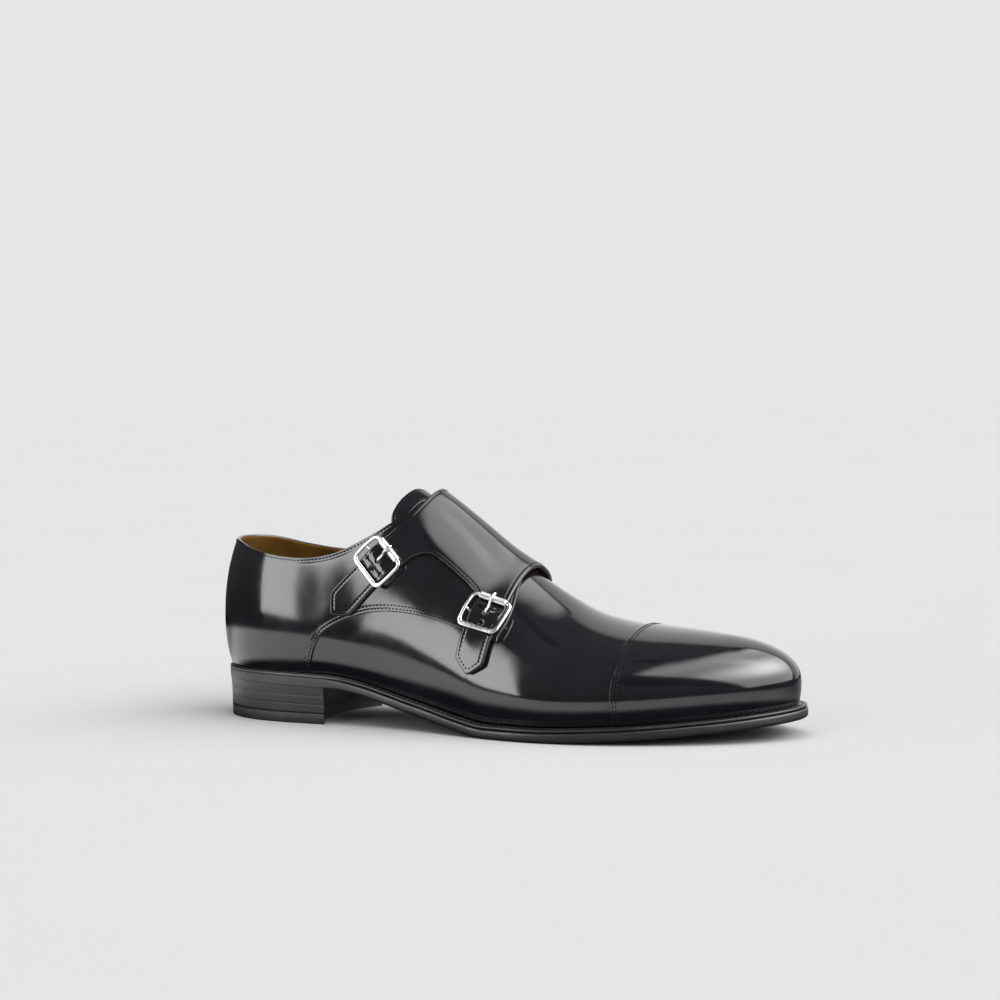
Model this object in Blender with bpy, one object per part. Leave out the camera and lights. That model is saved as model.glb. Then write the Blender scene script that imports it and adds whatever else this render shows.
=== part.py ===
"""Double monk strap shoe for the right foot, standing empty on its heel and forefoot.

Welted leather shoe with a toe cap. Lengths are metres; the toe points to +X, the medial (inner) side
is +Y, and the floor is Z = 0. The upper is described as a skirt around the last: a station on the plan
outline, and a girth share that runs from the sole's edge (0) to the ridge over the foot (1).
"""

import bmesh
import bpy
import numpy as np
from mathutils import Vector
from mathutils.geometry import delaunay_2d_cdt

# Main sizes of the shoe
LENGTH = 0.308
BALL_WIDTH = 0.110
INSTEP_HEIGHT = 0.1105
BREAST_HEIGHT = 0.0185
SEAT_RISE = 0.0017
TOE_SPRING = 0.009
HEEL_LENGTH = 0.070
BREAST_HOLLOW = 0.010

# Thicknesses and steps
OUTSOLE_THICKNESS = 0.0045
SOLE_EDGE_ROUND = 0.0009
WELT_THICKNESS = 0.0025
WELT_STEP = 0.0005
WELT_REACH = 0.0046
WELT_INNER = 0.0052
TOP_PIECE_THICKNESS = 0.0052
TOP_PIECE_CHAMFER = 0.0006
HEEL_INSET = 0.0003
HEEL_TAPER = 0.0005
INSOLE_RISE = 0.0022
LINING_DEPTH = 0.0023
OVERLAY_STEP = 0.0009
TONGUE_THICKNESS = 0.0018
FLAP_THICKNESS = 0.0019
FIT_GAP = 0.0003
FLAP_GAP = 0.0005
FLAP_STAND = 0.0012
FLAP_STAND_LENGTH = 0.012
TONGUE_GAP = 0.0015
PIN_GAP = 0.0002
LIFT_GROOVE = 0.00025
HEEL_LIFTS = 3

# Last: fans at heel and toe, bulge, throat
HEEL_AXIS = 0.036
TOE_AXIS_SETBACK = 0.042
AXIS_SOFTNESS = 0.006
BULGE_DEPTH = 0.005
BULGE_RISE = 0.024
BULGE_SHARE = 0.3
THROAT = 0.121
SLOT_END = 0.152
SLOT_WIDTH = 0.024
SLOT_ROUND = 0.012
SLOT_RUN_IN = 0.012
HALF_GIRTH = 0.100
TONGUE_MESH = 0.0070
FLAP_MESH = 0.0056

# Seams of the upper
CAP_SEAM = 0.2288
QUARTER_FRONT = 0.1702
QUARTER_FOOT = 0.0625
SEAM_BLEND = 0.0003

# Buckles
FRAME_ALONG = 0.0180
STRAP_WIDTH = 0.0156
STRAP_GAP = 0.0009
FRAME_WIDTH = 0.0022
FRAME_CORNER = 0.0030
SIDE_BOW = 0.0006
FRAME_DEPTH = 0.0016
BAR_DIAMETER = 0.0012
ROLLER_WALL = 0.0005
ROLLER_LENGTH = 0.0115
PRONG_DIAMETER = 0.0012
STRAP_HOLE = 0.0020
HUMP_LENGTH = 0.0038

# Plan outline: station (share of length), lateral and medial half width (shares of the ball width)
OUTLINE = (
    (0.000, 0.000, 0.000),
    (0.030, 0.190, 0.190),
    (0.080, 0.272, 0.268),
    (0.150, 0.312, 0.302),
    (0.230, 0.318, 0.290),
    (0.320, 0.330, 0.252),
    (0.420, 0.375, 0.262),
    (0.520, 0.445, 0.365),
    (0.600, 0.480, 0.462),
    (0.680, 0.475, 0.500),
    (0.760, 0.432, 0.490),
    (0.840, 0.355, 0.437),
    (0.910, 0.262, 0.355),
    (0.960, 0.165, 0.265),
    (0.990, 0.060, 0.165),
    (1.000, -0.045, 0.045),
)

# How far the sole stands out past the upper: station, lateral, medial (shares of the welt reach)
REACH = (
    (0.00, 0.26, 0.26),
    (0.20, 0.35, 0.26),
    (0.35, 0.70, 0.26),
    (0.50, 0.96, 0.48),
    (0.65, 1.04, 0.96),
    (0.80, 1.00, 1.00),
    (1.00, 0.91, 0.91),
)

# Side wall: station, bulge lateral and medial (shares of the bulge depth), its height lateral and
# medial above the sole's edge (shares of the bulge rise)
WALL = (
    (0.00, 0.68, 0.68, 1.04, 1.04),
    (0.10, 0.68, 0.72, 0.96, 1.00),
    (0.25, 0.60, 1.00, 0.83, 1.00),
    (0.40, 0.50, 1.50, 0.75, 1.08),
    (0.52, 0.48, 1.00, 0.62, 0.92),
    (0.65, 0.52, 0.56, 0.50, 0.58),
    (0.80, 0.44, 0.44, 0.46, 0.50),
    (0.92, 0.32, 0.32, 0.46, 0.46),
    (1.00, 0.24, 0.24, 0.46, 0.46),
)

# Ridge over the foot: station, shift to the medial side (share of the ball width), height (share of
# the instep height), fullness of the flank, fullness of the crown
RIDGE = (
    (0.117, 0.000, 1.080, 0.52, 0.60),
    (0.195, 0.000, 1.070, 0.50, 0.60),
    (0.276, 0.000, 1.090, 0.50, 0.60),
    (0.325, 0.000, 1.124, 0.52, 0.58),
    (0.360, 0.009, 1.098, 0.53, 0.53),
    (0.393, 0.009, 1.042, 0.52, 0.48),
    (0.432, 0.018, 0.962, 0.50, 0.43),
    (0.474, 0.027, 0.868, 0.48, 0.39),
    (0.516, 0.036, 0.770, 0.47, 0.37),
    (0.552, 0.036, 0.699, 0.47, 0.37),
    (0.584, 0.036, 0.640, 0.47, 0.39),
    (0.617, 0.036, 0.582, 0.49, 0.42),
    (0.650, 0.036, 0.531, 0.51, 0.45),
    (0.695, 0.036, 0.492, 0.54, 0.49),
    (0.753, 0.045, 0.464, 0.57, 0.52),
    (0.812, 0.045, 0.448, 0.58, 0.52),
    (0.864, 0.045, 0.432, 0.58, 0.52),
)

# Collar edge: station, height (share of the instep height)
COLLAR = (
    (0.000, 0.842),
    (0.030, 0.832),
    (0.090, 0.792),
    (0.150, 0.766),
    (0.200, 0.762),
    (0.250, 0.790),
    (0.300, 0.856),
    (0.340, 0.925),
    (0.370, 0.974),
    (0.393, 0.995),
)

# Underside of the sole: station, height of the heel part (share of the breast height), height of the
# fore part (share of the toe spring)
SOLE_LINE = (
    (0.400, 0.42, 0.00),
    (0.480, 0.13, 0.00),
    (0.535, 0.00, 0.00),
    (0.600, 0.00, 0.00),
    (0.740, 0.00, 0.19),
    (0.880, 0.00, 0.56),
    (1.000, 0.00, 1.00),
)

# Lower edge of the quarter: station, girth share
QUARTER_SEAM = (
    (0.203, 0.06),
    (0.208, 0.14),
    (0.214, 0.22),
    (0.227, 0.30),
    (0.247, 0.334),
    (0.271, 0.362),
    (0.303, 0.389),
    (0.333, 0.405),
    (0.381, 0.429),
    (0.426, 0.457),
    (0.474, 0.485),
    (0.553, 0.515),
)

# Edge of the tongue: station, girth position (negative to the lateral side, 0 on the ridge)
TONGUE_EDGE = (
    (0.358, 0.00),
    (0.350, -0.12),
    (0.336, -0.22),
    (0.330, -0.30),
    (0.350, -0.38),
    (0.400, -0.42),
    (0.450, -0.40),
    (0.500, -0.34),
    (0.545, -0.24),
    (0.568, -0.12),
    (0.574, 0.00),
    (0.568, 0.12),
    (0.545, 0.24),
    (0.500, 0.34),
    (0.450, 0.40),
    (0.400, 0.42),
    (0.380, 0.38),
    (0.366, 0.30),
    (0.364, 0.22),
    (0.364, 0.12),
)

# Cut in the flap between its straps, from the upper strap to the lower: station, girth position
FLAP_CUT = (
    (0.3690, -0.446),
    (0.3830, -0.401),
    (0.4070, -0.354),
    (0.4220, -0.344),
    (0.4560, -0.350),
    (0.4840, -0.356),
    (0.4950, -0.372),
)

# Rest of the flap's edge: front from the lower strap, medial end, top back to the upper strap
FLAP_BODY = (
    (0.5455, -0.346),
    (0.5470, -0.294),
    (0.5490, -0.223),
    (0.5515, -0.132),
    (0.5535, -0.057),
    (0.5550, 0.026),
    (0.5565, 0.100),
    (0.5560, 0.165),
    (0.5530, 0.230),
    (0.5480, 0.300),
    (0.5400, 0.370),
    (0.5280, 0.425),
    (0.5080, 0.440),
    (0.4600, 0.440),
    (0.4000, 0.440),
    (0.3500, 0.440),
    (0.3390, 0.420),
    (0.3420, 0.370),
    (0.3580, 0.300),
    (0.3730, 0.220),
    (0.3830, 0.130),
    (0.3875, 0.040),
    (0.3895, -0.030),
    (0.3870, -0.105),
    (0.3800, -0.195),
    (0.3695, -0.263),
    (0.3550, -0.322),
    (0.3370, -0.372),
)

# Strap past its buckle: length (share of the strap's own length), half width (share of its half width)
STRAP_END = (
    (-0.12, 1.00),
    (-0.05, 1.00),
    (0.00, 1.00),
    (0.05, 1.00),
    (0.12, 1.00),
    (0.30, 1.00),
    (0.50, 1.00),
    (0.72, 1.00),
    (0.79, 0.97),
    (0.84, 0.82),
    (0.97, 0.18),
    (1.00, 0.00),
)

# Buckles: name, station and girth position of the centre bar, turn of the strap from straight up the
# girth towards the toe (degrees), length of the strap past the bar, sideways sweep of its end
BUCKLES = (
    ("upper", 0.3297, -0.457, 46.0, 0.0365, -0.0015),
    ("lower", 0.5180, -0.418, 15.0, 0.0285, -0.0037),
)

# Materials: name, colour (linear), roughness, metallic
MATERIALS = {
    "upper_leather": ((0.012, 0.012, 0.013), 0.22, 0.0),
    "sole_edge_finish": ((0.016, 0.015, 0.015), 0.38, 0.0),
    "top_piece_rubber": ((0.014, 0.014, 0.014), 0.60, 0.0),
    "insole_leather": ((0.330, 0.170, 0.052), 0.70, 0.0),
    "buckle_metal": ((0.720, 0.710, 0.690), 0.16, 1.0),
}


def smooth(xs, ys, x):
    """Cubic through the rows of a table, with slopes weighted by the distance of the rows."""
    step = np.diff(xs)
    rise = np.diff(ys) / step
    slope = np.empty_like(ys)
    slope[1:-1] = (rise[:-1] * step[1:] + rise[1:] * step[:-1]) / (step[1:] + step[:-1])
    slope[0] = 1.5 * rise[0] - 0.5 * slope[1]
    slope[-1] = 1.5 * rise[-1] - 0.5 * slope[-2]
    return cubic(xs, ys, slope, x)


def level(xs, ys, x):
    """Cubic through the rows of a table that never passes a row's value between rows."""
    step = np.diff(xs)
    rise = np.diff(ys) / step
    slope = np.zeros_like(ys)
    both = rise[:-1] * rise[1:] > 0
    total = np.where(both, rise[:-1] + rise[1:], 1.0)
    slope[1:-1] = np.where(both, 2 * rise[:-1] * rise[1:] / total, 0.0)
    slope[0] = rise[0]
    slope[-1] = rise[-1]
    return cubic(xs, ys, slope, x)


def cubic(xs, ys, slope, x):
    i = np.clip(np.searchsorted(xs, x, side="right") - 1, 0, len(xs) - 2)
    step = xs[i + 1] - xs[i]
    t = (x - xs[i]) / step
    a = (2 * t**3 - 3 * t**2 + 1) * ys[i] + (t**3 - 2 * t**2 + t) * step * slope[i]
    return a + (3 * t**2 - 2 * t**3) * ys[i + 1] + (t**3 - t**2) * step * slope[i + 1]


def column(table, number, share):
    rows = np.array(table)
    return smooth(rows[:, 0], rows[:, number], np.clip(share, rows[0, 0], rows[-1, 0]))


def by_side(table, number, q):
    """A column for the lateral half (q below 1) and the next one for the medial half."""
    share = station(q) / LENGTH
    return np.where(q % 2 <= 1, column(table, number, share), column(table, number + 1, share))


def station(q):
    """Distance from the back of the heel along the shoe, for a place q on the outline."""
    return LENGTH * (1 - np.cos(np.pi * q)) / 2


def outline(q):
    """Edge of the sole in plan; q runs 0 to 1 along the lateral side and 1 to 2 back on the medial."""
    rows = np.array(OUTLINE)
    place = np.arccos(1 - 2 * rows[:, 0]) / np.pi
    around = np.concatenate([place, 2 - place[-2::-1]])
    width = np.concatenate([-rows[:, 1], rows[-2::-1, 2]])
    around = np.concatenate([around[-4:-1] - 2, around, around[1:4] + 2])
    width = np.concatenate([width[-4:-1], width, width[1:4]])
    q = q % 2
    return station(q), BALL_WIDTH * smooth(around, width, q)


def inset_outline(q, inset):
    """Outline moved inward by a distance square to the edge."""
    x0, y0 = outline(q - 1e-4)
    x1, y1 = outline(q + 1e-4)
    run = np.hypot(x1 - x0, y1 - y0)
    x, y = outline(q)
    return x - inset * (y1 - y0) / run, y + inset * (x1 - x0) / run


def feather(q, inset=0.0):
    """Line where the upper meets the welt, or a line further in."""
    return inset_outline(q, WELT_REACH * by_side(REACH, 1, q) + inset)


def sole_height(x):
    """Height of the sole's underside above the floor."""
    rows = np.array(SOLE_LINE)
    breast = HEEL_LENGTH / LENGTH
    stations = np.concatenate([[0.0, breast], rows[:, 0]])
    seat = [BREAST_HEIGHT + SEAT_RISE, BREAST_HEIGHT]
    heights = np.concatenate([seat, BREAST_HEIGHT * rows[:, 1] + TOE_SPRING * rows[:, 2]])
    return level(stations, heights, np.clip(x / LENGTH, 0, 1))


def edge_height(x):
    """Height of the line where the upper meets the welt."""
    return sole_height(x) + OUTSOLE_THICKNESS + WELT_THICKNESS


def clamp_softly(x, low, high):
    below = np.log1p(np.exp((x - low) / AXIS_SOFTNESS))
    above = np.log1p(np.exp((x - high) / AXIS_SOFTNESS))
    return low + AXIS_SOFTNESS * (below - above)


def axis_station(q):
    return clamp_softly(station(q), HEEL_AXIS, LENGTH - TOE_AXIS_SETBACK)


def place_of(x):
    """Place q on the lateral half whose section stands at axis station x."""
    around = np.linspace(0, 1, 2001)
    return np.interp(x, axis_station(around), around)


def section(q):
    """Frame and size of the section at q: axis, direction, radii and heights."""
    foot_x, foot_y = feather(q)
    axis_x = axis_station(q)
    share = axis_x / LENGTH
    axis_y = BALL_WIDTH * column(RIDGE, 1, share)
    away_x = foot_x - axis_x
    away_y = foot_y - axis_y
    foot_r = np.hypot(away_x, away_y)
    near = column(RIDGE, 2, share - 1e-3)
    far = column(RIDGE, 2, share + 1e-3)
    fall = (far - near) / (2e-3) * INSTEP_HEIGHT / LENGTH
    foot_z = edge_height(foot_x)
    return {
        "x": axis_x,
        "y": axis_y,
        "dx": away_x / foot_r,
        "dy": away_y / foot_r,
        "foot_r": foot_r,
        "foot_z": foot_z,
        "side_r": foot_r + BULGE_DEPTH * by_side(WALL, 1, q),
        "side_z": foot_z + BULGE_RISE * by_side(WALL, 3, q),
        "top_z": INSTEP_HEIGHT * column(RIDGE, 2, share),
        "tilt": fall * away_x / foot_r,
        "flank": column(RIDGE, 3, share),
        "crown": column(RIDGE, 4, share),
    }


def bezier(a, b, c, d, t):
    s = 1 - t
    return s**3 * a + 3 * s * s * t * b + 3 * s * t * t * c + t**3 * d


def girth_profile(form, v):
    """Radius and height at girth share v: side wall up to the bulge, then flank and crown."""
    bulge = form["side_r"] - form["foot_r"]
    rise = form["side_z"] - form["foot_z"]
    t = np.clip(v / BULGE_SHARE, 0, 1)
    low_r = bezier(form["foot_r"], form["foot_r"] + 0.7 * bulge, form["side_r"], form["side_r"], t)
    base = form["foot_z"]
    low_z = bezier(base, base + 0.22 * rise, base + 0.55 * rise, form["side_z"], t)
    t = np.clip((v - BULGE_SHARE) / (1 - BULGE_SHARE), 0, 1)
    climb = form["top_z"] - form["side_z"]
    handle = form["crown"] * form["side_r"]
    high_r = bezier(form["side_r"], form["side_r"], handle, 0, t)
    before_top = form["top_z"] + form["tilt"] * handle
    high_z = bezier(form["side_z"], form["side_z"] + form["flank"] * climb, before_top, form["top_z"], t)
    lower = v < BULGE_SHARE
    return np.where(lower, low_r, high_r), np.where(lower, low_z, high_z)


def last_point(q, v):
    form = section(q)
    r, z = girth_profile(form, v)
    return np.stack([form["x"] + form["dx"] * r, form["y"] + form["dy"] * r, z], -1)


def one_sided_normal(q, v):
    v = np.minimum(v, 0.985)
    along = last_point(q + 2e-3, v) - last_point(q - 2e-3, v)
    up = last_point(q, np.clip(v + 2e-3, 0, 1)) - last_point(q, np.clip(v - 2e-3, 0, 1))
    n = np.cross(along, up)
    return n / np.linalg.norm(n, axis=-1, keepdims=True)


def skin(q, v, lift):
    """Point of the last's skin moved out along its normal by lift; level at the sole's edge."""
    q, v, lift = np.broadcast_arrays(q * 1.0, v * 1.0, lift * 1.0)
    own = one_sided_normal(q, v)
    other = one_sided_normal(2 - q, v)
    share = 0.5 * np.clip((v - 0.95) / 0.05, 0, 1)[..., None]
    n = own * (1 - share) + other * share
    n[..., 2] = n[..., 2] * np.clip(v / 0.12, 0, 1)
    n = n / np.linalg.norm(n, axis=-1, keepdims=True)
    return last_point(q, v) + n * lift[..., None]


def on_top(x, g, lift):
    """Skin point at axis station x and girth position g (0 on the ridge, -1 at the lateral edge)."""
    x, g = np.broadcast_arrays(x * 1.0, g * 1.0)
    q = place_of(x)
    return skin(np.where(g <= 0, q, 2 - q), 1 - np.abs(g), lift)


def opening(q):
    """Girth share of the edge of the opening: the collar, then the throat slot, then closed (1)."""
    form = section(q)
    edge = INSTEP_HEIGHT * column(COLLAR, 1, station(q) / LENGTH)
    low = np.full(q.shape, BULGE_SHARE)
    high = np.ones(q.shape)
    for _ in range(40):
        middle = (low + high) / 2
        under = girth_profile(form, middle)[1] < edge
        low = np.where(under, middle, low)
        high = np.where(under, high, middle)
    left = np.clip((SLOT_END - form["x"]) / SLOT_ROUND, 0, 1)
    slot = 1 - SLOT_WIDTH / 2 / HALF_GIRTH * np.sqrt(1 - (1 - left) ** 2)
    share = np.clip(1 - (THROAT - form["x"]) / SLOT_RUN_IN, 0, 1)
    share = share * share * (3 - 2 * share)
    edge = (low + high) / 2 * (1 - share) + slot * share
    return np.where(form["x"] > SLOT_END - 1e-6, 1.0, edge)


def quarter_seam(x):
    """Girth share of the quarter's lower edge at axis station x."""
    rows = np.array(QUARTER_SEAM)
    return smooth(rows[:, 0], rows[:, 1], np.clip(x / LENGTH, rows[0, 0], rows[-1, 0]))


def centre():
    """Middle of the shoe in plan: the heel's bulge stands out past the sole's back."""
    back = WELT_REACH * REACH[0][1] - BULGE_DEPTH * WALL[0][1]
    y = outline(np.linspace(0, 2, 801))[1]
    return np.array([(LENGTH + min(back, 0)) / 2, (y.min() + y.max()) / 2, 0])


def build(name, points, faces, material):
    """Named object from points and faces, centred on the sole's plan, faces turned outward."""
    mesh = bpy.data.meshes.new(name)
    mesh.from_pydata((points - centre()).tolist(), [], faces)
    body = bmesh.new()
    body.from_mesh(mesh)
    bmesh.ops.remove_doubles(body, verts=body.verts, dist=2e-5)
    bmesh.ops.dissolve_degenerate(body, edges=body.edges, dist=1e-6)
    bmesh.ops.recalc_face_normals(body, faces=body.faces)
    if body.calc_volume(signed=True) < 0:
        bmesh.ops.reverse_faces(body, faces=body.faces)
    for face in body.faces:
        face.smooth = True
    body.to_mesh(mesh)
    body.free()
    made = bpy.data.objects.new(name, mesh)
    bpy.context.scene.collection.objects.link(made)
    made.data.materials.append(finish(material))
    return made


def finish(name):
    if name in bpy.data.materials:
        return bpy.data.materials[name]
    colour, roughness, metallic = MATERIALS[name]
    made = bpy.data.materials.new(name)
    made.use_nodes = True
    shader = made.node_tree.nodes["Principled BSDF"]
    shader.inputs["Base Color"].default_value = (*colour, 1.0)
    shader.inputs["Roughness"].default_value = roughness
    shader.inputs["Metallic"].default_value = metallic
    made.diffuse_color = (*colour, 1.0)
    return made


def grid_faces(rows, columns, start=0, around=False):
    """Quads of a grid stored row by row; around joins the last column to the first."""
    faces = []
    for i in range(rows - 1):
        for j in range(columns if around else columns - 1):
            k = (j + 1) % columns
            a = start + i * columns
            b = start + (i + 1) * columns
            faces.append((a + j, a + k, b + k, b + j))
    return faces


def stations(count, extra=()):
    """Places q on one half, evenly spread, with those of some exact stations put in."""
    places = list(np.linspace(0, 1, count))
    for x in extra:
        q = np.arccos(1 - 2 * x / LENGTH) / np.pi
        nearest = min(range(1, count - 1), key=lambda i: abs(places[i] - q))
        places[nearest] = q
    return np.array(sorted(places))


def sole_places():
    """Columns shared by the sole's layers, with the ends of its flat part and the heel's breast."""
    return stations(36, [HEEL_LENGTH] + [row[0] * LENGTH for row in SOLE_LINE[2:4]])


def slab(name, places, rings, heights, crossings, material):
    """Closed plate across the shoe: rings around its edge from bottom to top, ladders below and above.

    rings give plan points for a place q, heights give z for plan points, both from bottom to top.
    """
    around = np.concatenate([places, 2 - places[-2:0:-1]])
    count = len(around)
    points = []
    faces = []
    for ring, height in zip(rings, heights):
        x, y = ring(around)
        points.extend(np.stack([x, y, height(x, y)], -1))
    faces.extend(grid_faces(len(rings), count, 0, True))
    half = len(places)
    for base, height in ((0, heights[0]), ((len(rings) - 1) * count, heights[-1])):
        rungs = [[base] * (crossings + 1)]
        for i in range(1, half - 1):
            left = points[base + i]
            right = points[base + count - i]
            rung = [base + i]
            for k in range(1, crossings):
                share = k / crossings
                x = left[0] * (1 - share) + right[0] * share
                y = left[1] * (1 - share) + right[1] * share
                rung.append(len(points))
                points.append(np.array([x, y, float(height(np.array(x), np.array(y)))]))
            rung.append(base + count - i)
            rungs.append(rung)
        rungs.append([base + half - 1] * (crossings + 1))
        for low, high in zip(rungs, rungs[1:]):
            for k in range(crossings):
                corners = []
                for corner in (low[k], low[k + 1], high[k + 1], high[k]):
                    if corner not in corners:
                        corners.append(corner)
                faces.append(tuple(corners))
    return build(name, np.array(points), faces, material)


def make_outsole():
    edge = ((1.0, 0.0), (0.2, 0.16), (0.0, 0.4), (0.1, 0.8), (0.7, 1.0))
    rings = [lambda q, d=d: inset_outline(q, d * SOLE_EDGE_ROUND) for d, _ in edge]
    heights = [lambda x, y, h=h: sole_height(x) + h * OUTSOLE_THICKNESS for _, h in edge]
    slab("outsole", sole_places(), rings, heights, 3, "sole_edge_finish")


def make_welt():
    """Ring between sole and upper: groove below, rounded crest, sloping top, flat under the upper."""
    top = WELT_THICKNESS - FIT_GAP
    crest = 0.68 * WELT_THICKNESS
    places = sole_places()
    around = np.concatenate([places, 2 - places[-2:0:-1]])
    reach = WELT_REACH * by_side(REACH, 1, around)
    turns = []
    for inset, height in (
        (WELT_STEP + 0.08 * WELT_REACH, FIT_GAP),
        (WELT_STEP, FIT_GAP + 0.45 * (crest - FIT_GAP)),
        (WELT_STEP + 0.04 * reach, 0.92 * crest),
        (WELT_STEP + 0.14 * reach, crest),
        (reach - FIT_GAP, top),
        (reach + WELT_INNER, top),
        (reach + WELT_INNER, FIT_GAP),
    ):
        x, y = inset_outline(around, inset)
        turns.append(np.stack([x, y, sole_height(x) + OUTSOLE_THICKNESS + height], -1))
    turns.append(turns[0])
    build("welt", np.concatenate(turns), grid_faces(len(turns), len(around), 0, True), "sole_edge_finish")


def make_insole():
    """Insole with a lower step inside the welt and a wider upper step inside the upper."""
    under = WELT_INNER + FIT_GAP
    wall = LINING_DEPTH + FIT_GAP
    low = OUTSOLE_THICKNESS + FIT_GAP
    ledge = OUTSOLE_THICKNESS + WELT_THICKNESS + FIT_GAP
    edge = ((under, low), (under, ledge), (wall, ledge), (wall, ledge + INSOLE_RISE))
    rings = [lambda q, d=d: feather(q, d) for d, _ in edge]
    heights = [lambda x, y, h=h: sole_height(x) + h for _, h in edge]
    slab("insole", sole_places(), rings, heights, 2, "insole_leather")


def heel_rings(levels):
    """Rings of the heel in plan, from the lateral breast corner around the back, closed by the breast."""
    end = np.arccos(1 - 2 * HEEL_LENGTH / LENGTH) / np.pi
    q = np.linspace(end, -end, 31)
    across = np.linspace(-1, 1, 9)[1:-1]
    rings = []
    for inset, height in levels:
        x, y = inset_outline(q, inset)
        first = (x[0], y[0])
        last = (x[-1], y[-1])
        share = (across + 1) / 2
        hollow = BREAST_HOLLOW * (1 - across**2)
        front_x = last[0] * (1 - share) + first[0] * share - hollow
        front_y = last[1] * (1 - share) + first[1] * share
        px = np.concatenate([x, front_x])
        py = np.concatenate([y, front_y])
        rings.append(np.stack([px, py, height(px)], -1))
    return rings


def make_heel():
    """Stacked heel: lifts with fine grooves between them, and the top piece on the floor."""
    floor = TOP_PIECE_THICKNESS + FIT_GAP
    low = HEEL_INSET + HEEL_TAPER
    levels = [(low, lambda x: x * 0 + floor)]
    for number in range(1, HEEL_LIFTS):
        share = number / HEEL_LIFTS
        for shift, cut in ((-0.02, 0.0), (0.0, LIFT_GROOVE), (0.02, 0.0)):
            s = share + shift
            inset = low - HEEL_TAPER * s + cut
            levels.append((inset, lambda x, s=s: floor + s * (sole_height(x) - FIT_GAP - floor)))
    levels.append((HEEL_INSET, lambda x: sole_height(x) - FIT_GAP))
    closed_stack("heel_stack", heel_rings(levels), "sole_edge_finish")
    levels = [
        (low + TOP_PIECE_CHAMFER, lambda x: x * 0),
        (low, lambda x: x * 0 + TOP_PIECE_CHAMFER),
        (low, lambda x: x * 0 + TOP_PIECE_THICKNESS),
    ]
    closed_stack("heel_top_piece", heel_rings(levels), "top_piece_rubber")


def closed_stack(name, rings, material):
    """Solid from stacked rings, closed below and above with strips between back and breast."""
    count = len(rings[0])
    points = np.concatenate(rings)
    faces = grid_faces(len(rings), count, 0, True)
    for base in (0, (len(rings) - 1) * count):
        for face in ring_fill(points[base:base + count]):
            faces.append(tuple(base + i for i in face))
    build(name, points, faces, material)


def ring_fill(ring):
    """Triangles that fill a ring seen from above."""
    count = len(ring)
    flat = [Vector((float(p[0]), float(p[1]))) for p in ring]
    filled = delaunay_2d_cdt(flat, [], [list(range(count))], 1, 1e-9)
    return [tuple(filled[3][i][0] for i in face) for face in filled[2]]


def upper_places():
    """Places q for the upper's columns, with a close pair on each seam across the shoe."""
    places = list(sole_places())
    for x in (QUARTER_FOOT, QUARTER_FRONT, CAP_SEAM):
        low = float(place_of(x - SEAM_BLEND))
        high = float(place_of(x + SEAM_BLEND))
        places = [q for q in places if abs(q - (low + high) / 2) > 0.004] + [low, high]
    crown = THROAT + (SLOT_END - THROAT) * np.array([-0.35, 0.15, 0.6])
    for x in (*crown, SLOT_END - 0.12 * SLOT_ROUND, SLOT_END):
        q = float(place_of(x))
        places = [p for p in places if abs(p - q) > 0.004] + [q]
    return np.array(sorted(places))


def overlay_depth(x, v):
    """How far the vamp lies below the toe cap and the quarters at axis station x, girth share v."""
    behind = np.clip((x - CAP_SEAM) / (2 * SEAM_BLEND) + 0.5, 0, 1)
    ahead = np.clip((x - QUARTER_FRONT) / (2 * SEAM_BLEND) + 0.5, 0, 1)
    below = np.clip((quarter_seam(x) - v) / 0.006 + 0.5, 0, 1)
    past = np.clip((x - QUARTER_FOOT) / (2 * SEAM_BLEND) + 0.5, 0, 1)
    return OVERLAY_STEP * np.maximum(ahead, below * past) * (1 - behind)


def make_upper():
    """One hollow wall: open at the collar, along the throat slot and underneath."""
    half = upper_places()
    around = np.concatenate([half, 2 - half[-2:0:-1]])
    seam = quarter_seam(axis_station(around))
    rim = opening(around)
    shares = [0.0 * seam, 0.33 * seam, 0.70 * seam, seam - 0.004, seam + 0.004]
    for part in (0.13, 0.27, 0.40, 0.52, 0.63, 0.73, 0.82, 0.91, 1.0):
        shares.append(seam + 0.004 + part * (rim - seam - 0.004))
    v = np.array(shares)
    q = np.broadcast_to(around, v.shape)
    outer = skin(q, v, -overlay_depth(axis_station(q), v))
    inner = skin(q, v, -LINING_DEPTH)
    rows, columns = v.shape
    points = np.concatenate([outer.reshape(-1, 3), inner.reshape(-1, 3)])
    start = rows * columns
    faces = grid_faces(rows, columns, 0, True)
    faces.extend(tuple(reversed(face)) for face in grid_faces(rows, columns, start, True))
    closed = rim >= 1
    top = (rows - 1) * columns
    for j in range(columns):
        k = (j + 1) % columns
        faces.append((k, j, start + j, start + k))
        if not (closed[j] and closed[k]):
            faces.append((top + j, top + k, start + top + k, start + top + j))
    build("upper", points, faces, "upper_leather")


def corner_rounding(edge, times):
    """Edge with each corner cut twice, which leaves a smooth closed curve."""
    edge = np.array(edge)
    for _ in range(times):
        ahead = np.roll(edge, -1, 0)
        edge = np.stack([0.75 * edge + 0.25 * ahead, 0.25 * edge + 0.75 * ahead], 1).reshape(-1, 2)
    return edge


def inside(edge, x, y):
    x1, y1 = edge[:, 0], edge[:, 1]
    x2, y2 = np.roll(x1, -1), np.roll(y1, -1)
    crossing = (y1 > y) != (y2 > y)
    safe = np.where(y2 == y1, 1, y2 - y1)
    return np.sum(crossing & (x < (x2 - x1) * (y - y1) / safe + x1)) % 2 == 1


def distance_to(edge, x, y):
    ahead = np.roll(edge, -1, 0) - edge
    reach = (np.array([x, y]) - edge)
    share = np.clip((reach * ahead).sum(1) / np.maximum((ahead**2).sum(1), 1e-18), 0, 1)
    return np.hypot(*(reach - ahead * share[:, None]).T).min()


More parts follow.
